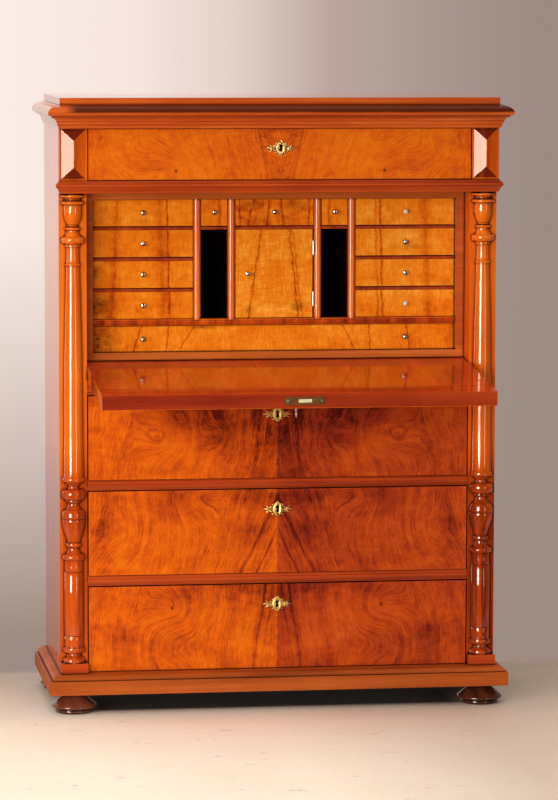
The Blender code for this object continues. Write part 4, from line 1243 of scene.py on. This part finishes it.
def make_small_veneers():
    """Materials of the nest's golden fronts, with dark streaks that run on from row to row."""
    stack = {"level": 1.12, "span": 0.2, "centre": 0.0, "bands": 30.0, "contrast": 0.35,
             "mottle": 0.7, "smoke": 0.2}
    row = dict(stack, level=1.215, span=0.06, tone=0.72)
    figures = {
        "left": dict(
            stack, seed=5.0, centre=-0.323, tone=0.74,
            burns=((-0.125, 1.07, 0.016, 0.02, 0.8), (-0.12, 0.99, 0.042, 0.034, 1.0),
                   (-0.004, 1.195, 0.012, 0.006, 0.4)),
            streaks=((0.0573, 0.0622, 0.0016, 0.8, 0.01), (0.04, 0.047, 0.006, 0.28, 0.01),
                     (-0.066, -0.076, 0.004, 0.22, 0.012))),
        "right": dict(
            stack, seed=15.0, centre=0.323, tone=0.86,
            burns=((0.02, 1.13, 0.03, 0.006, 0.4), (0.105, 1.04, 0.02, 0.012, 0.3)),
            streaks=((-0.0598, -0.0541, 0.0018, 0.85, 0.012),
                     (-0.072, -0.066, 0.0012, 0.5, 0.016), (0.052, 0.06, 0.005, 0.25, 0.01))),
        "centre": dict(
            row, seed=25.0, smoke=0.35, mottle=1.0,
            burns=((-0.06, 1.235, 0.03, 0.012, 0.55), (0.055, 1.232, 0.03, 0.014, 0.55),
                   (-0.03, 1.2, 0.02, 0.01, 0.4), (0.03, 1.2, 0.02, 0.01, 0.35)),
            streaks=((-0.012, -0.0184, 0.0016, 0.85, 0.008), (0.0163, 0.0214, 0.0016, 0.85, 0.008),
                     (-0.05, -0.066, 0.0014, 0.7, 0.02)),
            pairs=((0.087, 0.085, 0.0016, 0.6, 0.01),)),
        "small": dict(row, seed=35.0, pairs=((0.137, 0.135, 0.0015, 0.5, 0.012),)),
        "wide": dict(
            row, seed=45.0, level=0.905, tone=0.78,
            burns=((-0.442, 0.905, 0.05, 0.045, 1.0), (0.45, 0.91, 0.02, 0.03, 0.5),
                   (-0.18, 0.935, 0.03, 0.004, 0.7)),
            streaks=((-0.2, -0.239, 0.0012, 0.85, 0.012),
                     (-0.33, -0.35, 0.0014, 0.8, 0.01),
                     (-0.262, -0.268, 0.001, 0.55, 0.01), (0.2369, 0.2397, 0.0014, 0.8, 0.012),
                     (0.1718, 0.2019, 0.0012, 0.7, 0.012), (0.33, 0.3377, 0.0012, 0.7, 0.01))),
        "door": dict(
            stack, seed=55.0, level=1.06, curl=0.45, tone=0.84,
            burns=((0.058, 0.985, 0.016, 0.012, 0.8), (-0.062, 0.975, 0.012, 0.01, 0.5)),
            streaks=((-0.0345, -0.064, 0.0018, 0.85, 0.018), (0.0388, 0.06, 0.0018, 0.85, 0.018),
                     (0.046, 0.068, 0.0012, 0.55, 0.022))),
    }
    made = {}
    for name, figure in figures.items():
        face = None if name == "door" else (drawer_plane, 0.009)
        made[name] = veneer(name + "_gold_veneer", face, figure, gold_stops)
    return made


def make_fall_wood():
    """The fall: figured outside, straight border and plain field inside, red lipping."""
    stuff = Stuff("fall_wood", turned=True)
    x, y, z = stuff.x, stuff.y, stuff.z
    border_soft = 0.0006
    line_half = 0.0011
    field = straight_grain(stuff, "Z")
    border = straight_grain(stuff, "X")
    past_front = z - (fall_top - 0.085)
    past_side = x.size() - 0.4
    front_band = past_front.above(0.0, border_soft)
    banded = strongest((front_band, past_side.above(0.0, border_soft)))
    side_line = (past_side / line_half).bell() * (-front_band + 1.0)
    line = strongest(((past_front / line_half).bell(), side_line))
    inner = stuff.mix(banded, stuff.ramp(field, board_stops), stuff.ramp(border, board_stops))
    inner = stuff.mix(line * 0.7, inner, ink(70, 16, 8))
    edge = stuff.mix(0.35, stuff.ramp(border - 0.08 + x * 0.24, rail_stops), ink(134, 28, 18))
    fold = x.size()
    flow = fold + (z - 0.2) * 0.2 + (stuff.noise(fold * 7.0, z * 6.0, 2.0) - 0.5) * 0.06
    show = (stuff.noise(flow * 46.0, z * 3.0, 4.0, 3.0, 0.55) * 0.9
            + stuff.noise(flow * 330.0, z * 9.0, 6.0) * 0.4 - 0.15).clamp()
    outside = (y - (fall_outer + 0.0009)).above(0.0, 0.0004)
    inside = (y - (fall_inner - 0.0009)).above(0.0, 0.0004)
    tint = stuff.mix(outside, stuff.ramp(show, bright_stops), edge)
    tint = stuff.mix(inside, tint, inner)
    relief = stuff.noise(x * 5.0, z * 5.0, y * 5.0) + field * 0.02
    return stuff.polish(tint, relief, 0.0004, 0.5, 1.0, 0.07)


def make_bone():
    stuff = Stuff("bone")
    grain = stuff.noise(stuff.x * 300.0, stuff.y * 300.0, stuff.z * 300.0, 3.0)
    stuff.set(Base_Color=stuff.ramp(grain, ((0.3, ink(196, 176, 140)), (0.7, ink(236, 222, 190)))),
              Roughness=0.35, Subsurface_Weight=0.1)
    return stuff.material


def dress_case(wood):
    for name, kind, bevel in (
            ("top_board", "top", 0.0012), ("side_left", "side", 0.0008),
            ("side_right", "side", 0.0008), ("back_panel", "bare", 0.0006),
            ("plinth", "plinth", 0.001), ("corner_block_left", "corner", 0.001),
            ("corner_block_right", "corner", 0.001), ("nest_case", "nest_case", 0.0006),
            ("nest_dividers", "nest", 0.0004)):
        dress(name, wood[kind], bevel)


def dress_drawers(large, small):
    for name, material in large.items():
        dress(name, material, 0.001)
    fronts = [("%s_drawer_%d" % (side, row), side) for side in ("left", "right")
              for row in range(1, 5)]
    fronts += [("small_drawer_left", "small"), ("small_drawer_right", "small"),
               ("centre_drawer", "centre"), ("wide_drawer", "wide"), ("cupboard_door", "door")]
    for name, kind in fronts:
        dress(name, small[kind], 0.0006)


def make_floor():
    """Pale floor that fades out behind the object and far to its sides, with painted shade to the
    right and behind and a painted shadow under the case.
    """
    shape = bmesh.new()
    for x, y in ((-4.0, -4.0), (4.0, -4.0), (4.0, 2.5), (-4.0, 2.5)):
        shape.verts.new((x, y, 0.0))
    shape.faces.new(shape.verts)
    stuff = Stuff("floor_plaster")
    x, y = stuff.x, stuff.y
    cloud = stuff.noise(x * 1.2, y * 1.2, 0.0, 3.0)
    speck = stuff.noise(x * 60.0, y * 60.0, 0.0, 3.0)
    tint = stuff.ramp(cloud * 0.7 + speck * 0.3,
                      ((0.3, ink(236, 219, 199)), (0.7, ink(250, 235, 215))))
    scuffs = stuff.noise(x * 14.0, y * 34.0, 7.0, 4.0, 0.7).above(0.655, 0.03)
    tint = stuff.mix(scuffs * 0.5, tint, ink(170, 145, 126))
    # Painted shade: the floor darker to the right and towards the back.
    tint = stuff.mix(x.above(0.2, 0.5) * 0.6, tint, ink(180, 158, 142))
    tint = stuff.mix(y.above(0.1, 0.7) * 0.75, tint, ink(150, 130, 115))
    # Painted shadow under the case.
    low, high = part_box("plinth")
    under = (-x.size() + high.x).above(0.085, 0.1) * (y - low.y).above(0.05, 0.03)
    tint = stuff.mix(under * 0.96, tint, ink(14, 10, 8))
    round_fade = (-away(x, y + 0.4).run("SQRT") + 1.9).above(0.0, 0.8)
    back_fade = (-y + 0.55).above(0.0, 0.07)
    front_fade = (y + 1.3 - stuff.ray("Glossy") * 0.95).above(0.0, 0.2)
    stuff.set(Base_Color=tint, Roughness=0.8, Specular_IOR_Level=0.2,
              Alpha=round_fade * back_fade * front_fade)
    make_object("floor", shape, stuff.material)


def make_lights():
    """Two soft lamps from the front left, which no gloss shows."""
    aim = Vector((0.0, 0.0, 0.9))
    for name, place, power in (("key_light", Vector((-2.8, -3.3, 1.55)), 75.0),
                               ("front_light", Vector((-1.7, -5.2, 1.2)), 105.0)):
        data = bpy.data.lights.new(name, "AREA")
        data.shape = "RECTANGLE"
        data.size = 2.0
        data.size_y = 1.6
        data.energy = power
        data.color = (1.0, 0.985, 0.96)
        lamp = bpy.data.objects.new(name, data)
        lamp.location = place
        lamp.rotation_euler = (aim - place).to_track_quat("-Z", "Y").to_euler()
        lamp.visible_glossy = False
        bpy.context.scene.collection.objects.link(lamp)


def make_world():
    """White pool to the left behind the object, grey to the right, soft light from above."""
    world = bpy.data.worlds.new("studio")
    bpy.context.scene.world = world
    world.use_nodes = True
    world.node_tree.nodes.clear()
    sky = Nodes(world.node_tree)
    x, y, z = sky.parts("Generated")
    degrees = 180 / math.pi
    azimuth = x.run("ARCTAN2", y) * degrees
    elevation = z.run("ARCSINE") * degrees
    glossy = sky.ray("Glossy")

    # Backdrop, dark ahead of the object where only gloss sees it
    across = (x.run("ARCTAN2", y.size()) * degrees - 4.0) / 10.0
    tint = sky.ramp(across, ((0.0, ink(251, 236, 229)), (0.22, ink(245, 229, 222)),
                             (0.36, ink(226, 207, 200)), (0.5, ink(187, 167, 159)),
                             (0.62, ink(172, 154, 147)), (0.8, ink(155, 139, 131))))
    tint = sky.mix((-elevation).above(6.3, 6.0), tint, ink(158, 139, 129))
    tint = sky.mix((-elevation).above(10.9, 0.8), tint, ink(215, 190, 170))
    tint = sky.mix(azimuth.size().above(70.0, 60.0) * glossy, tint, ink(34, 26, 22))
    seen = sky.node("Background", tint)

    # Soft boxes that gloss mirrors
    key = window(azimuth, -142.0, 11.0, 3.0) * window(elevation, 9.4, 15.0, 1.2)
    fill = window(azimuth, 148.0, 2.4, 1.5) * window(elevation, 7.4, 15.0, 3.0)
    boxes = sky.node("Background", (0.97, 1.0, 0.88, 1.0), (key * 26.0 + fill * 10.0) * glossy)
    both = sky.node("AddShader", seen.outputs[0], boxes.outputs[0])

    # Light on the object, mostly from above and from the left
    low_sky = (-elevation.size()).above(-35.0, 60.0)
    left_sky = (-x).above(-0.5, 1.2)
    zenith = elevation.above(42.0, 26.0) * (left_sky * 0.5 + 0.6)
    soft = sky.node("Background", (1.0, 0.97, 0.94, 1.0),
                    low_sky * left_sky * 0.3 + zenith * 1.5 + 0.03)
    shown = strongest((sky.ray("Camera"), glossy, sky.ray("Transmission")))
    choice = sky.node("MixShader", shown, soft.outputs[0], both.outputs[0])
    sky.node("OutputWorld", choice.outputs[0])


def make_camera():
    data = bpy.data.cameras.new("camera")
    data.sensor_fit = "VERTICAL"
    data.sensor_height = sensor_height
    data.lens = focal_pixels / photo_height * sensor_height
    data.clip_end = 100.0
    ahead = Vector((math.sin(camera_yaw) * math.cos(camera_pitch),
                    math.cos(camera_yaw) * math.cos(camera_pitch), -math.sin(camera_pitch)))
    right = Vector((math.cos(camera_yaw), -math.sin(camera_yaw), 0.0))
    up = right.cross(ahead)
    level = right * math.cos(camera_roll) + up * math.sin(camera_roll)
    tall = up * math.cos(camera_roll) - right * math.sin(camera_roll)
    camera = bpy.data.objects.new("camera", data)
    camera.matrix_world = Matrix((
        (level.x, tall.x, -ahead.x, camera_place[0]), (level.y, tall.y, -ahead.y, camera_place[1]),
        (level.z, tall.z, -ahead.z, camera_place[2]), (0.0, 0.0, 0.0, 1.0)))
    bpy.context.scene.collection.objects.link(camera)
    bpy.context.scene.camera = camera


def build_scene():
    wood = make_wood()
    silver = metal("knob_silver", (226, 222, 214), 0.2, 0.12, (70, 60, 50), 0.4)
    dull = metal("knob_worn", (176, 160, 140), 0.34, 0.15, (60, 44, 32), 0.6)
    pale = metal("hinge_metal", (242, 234, 218), 0.42, 0.12, (90, 76, 60), 0.35)
    brass = metal("gilt_brass", (240, 194, 116), 0.36, 0.14, (104, 64, 22), 0.5, 380.0)
    matt_brass = metal("matt_brass", (232, 196, 128), 0.56, 0.1, (104, 64, 22), 0.35, 380.0)
    bronze = metal("lock_bronze", (146, 92, 48), 0.44, 0.15, (76, 44, 22), 0.5)
    steel = metal("steel", (190, 182, 168), 0.3, 0.15, (80, 70, 60), 0.4)
    worn = metal("bolt_steel", (246, 224, 188), 0.55, 0.15, (120, 100, 80), 0.3)
    fall_wood = make_fall_wood()
    dress_case(wood)
    dress_drawers(make_drawer_veneers(), make_small_veneers())
    dress("fall_board", fall_wood, 0.001)
    dress("fall_pivot_left", steel, 0.0005)
    dress("fall_pivot_right", steel, 0.0005)
    make_columns(wood["column"], wood["rail"])
    make_feet(wood["dark"])
    make_cornice(wood["cornice"])
    make_frieze_rail(wood["rail"])
    make_base(wood["plinth"])
    make_drawer_rails(wood["rail"])
    make_fall_rail(wood["rail"])
    make_knobs(silver, dull, make_bone())
    make_nest_beads(wood["nest_beads"])
    make_hinges(pale)
    make_keyhole_plates(brass, matt_brass)
    make_lock_plate(bronze)
    make_lock_case(bronze)
    make_lock_corners(fall_wood)
    dress("lock_bolt", worn, 0.0007)
    make_key(steel)
    make_screws(steel)
    make_floor()
    make_lights()
    make_world()
    make_camera()
    bpy.context.scene.view_settings.view_transform = "Standard"


build_scene()
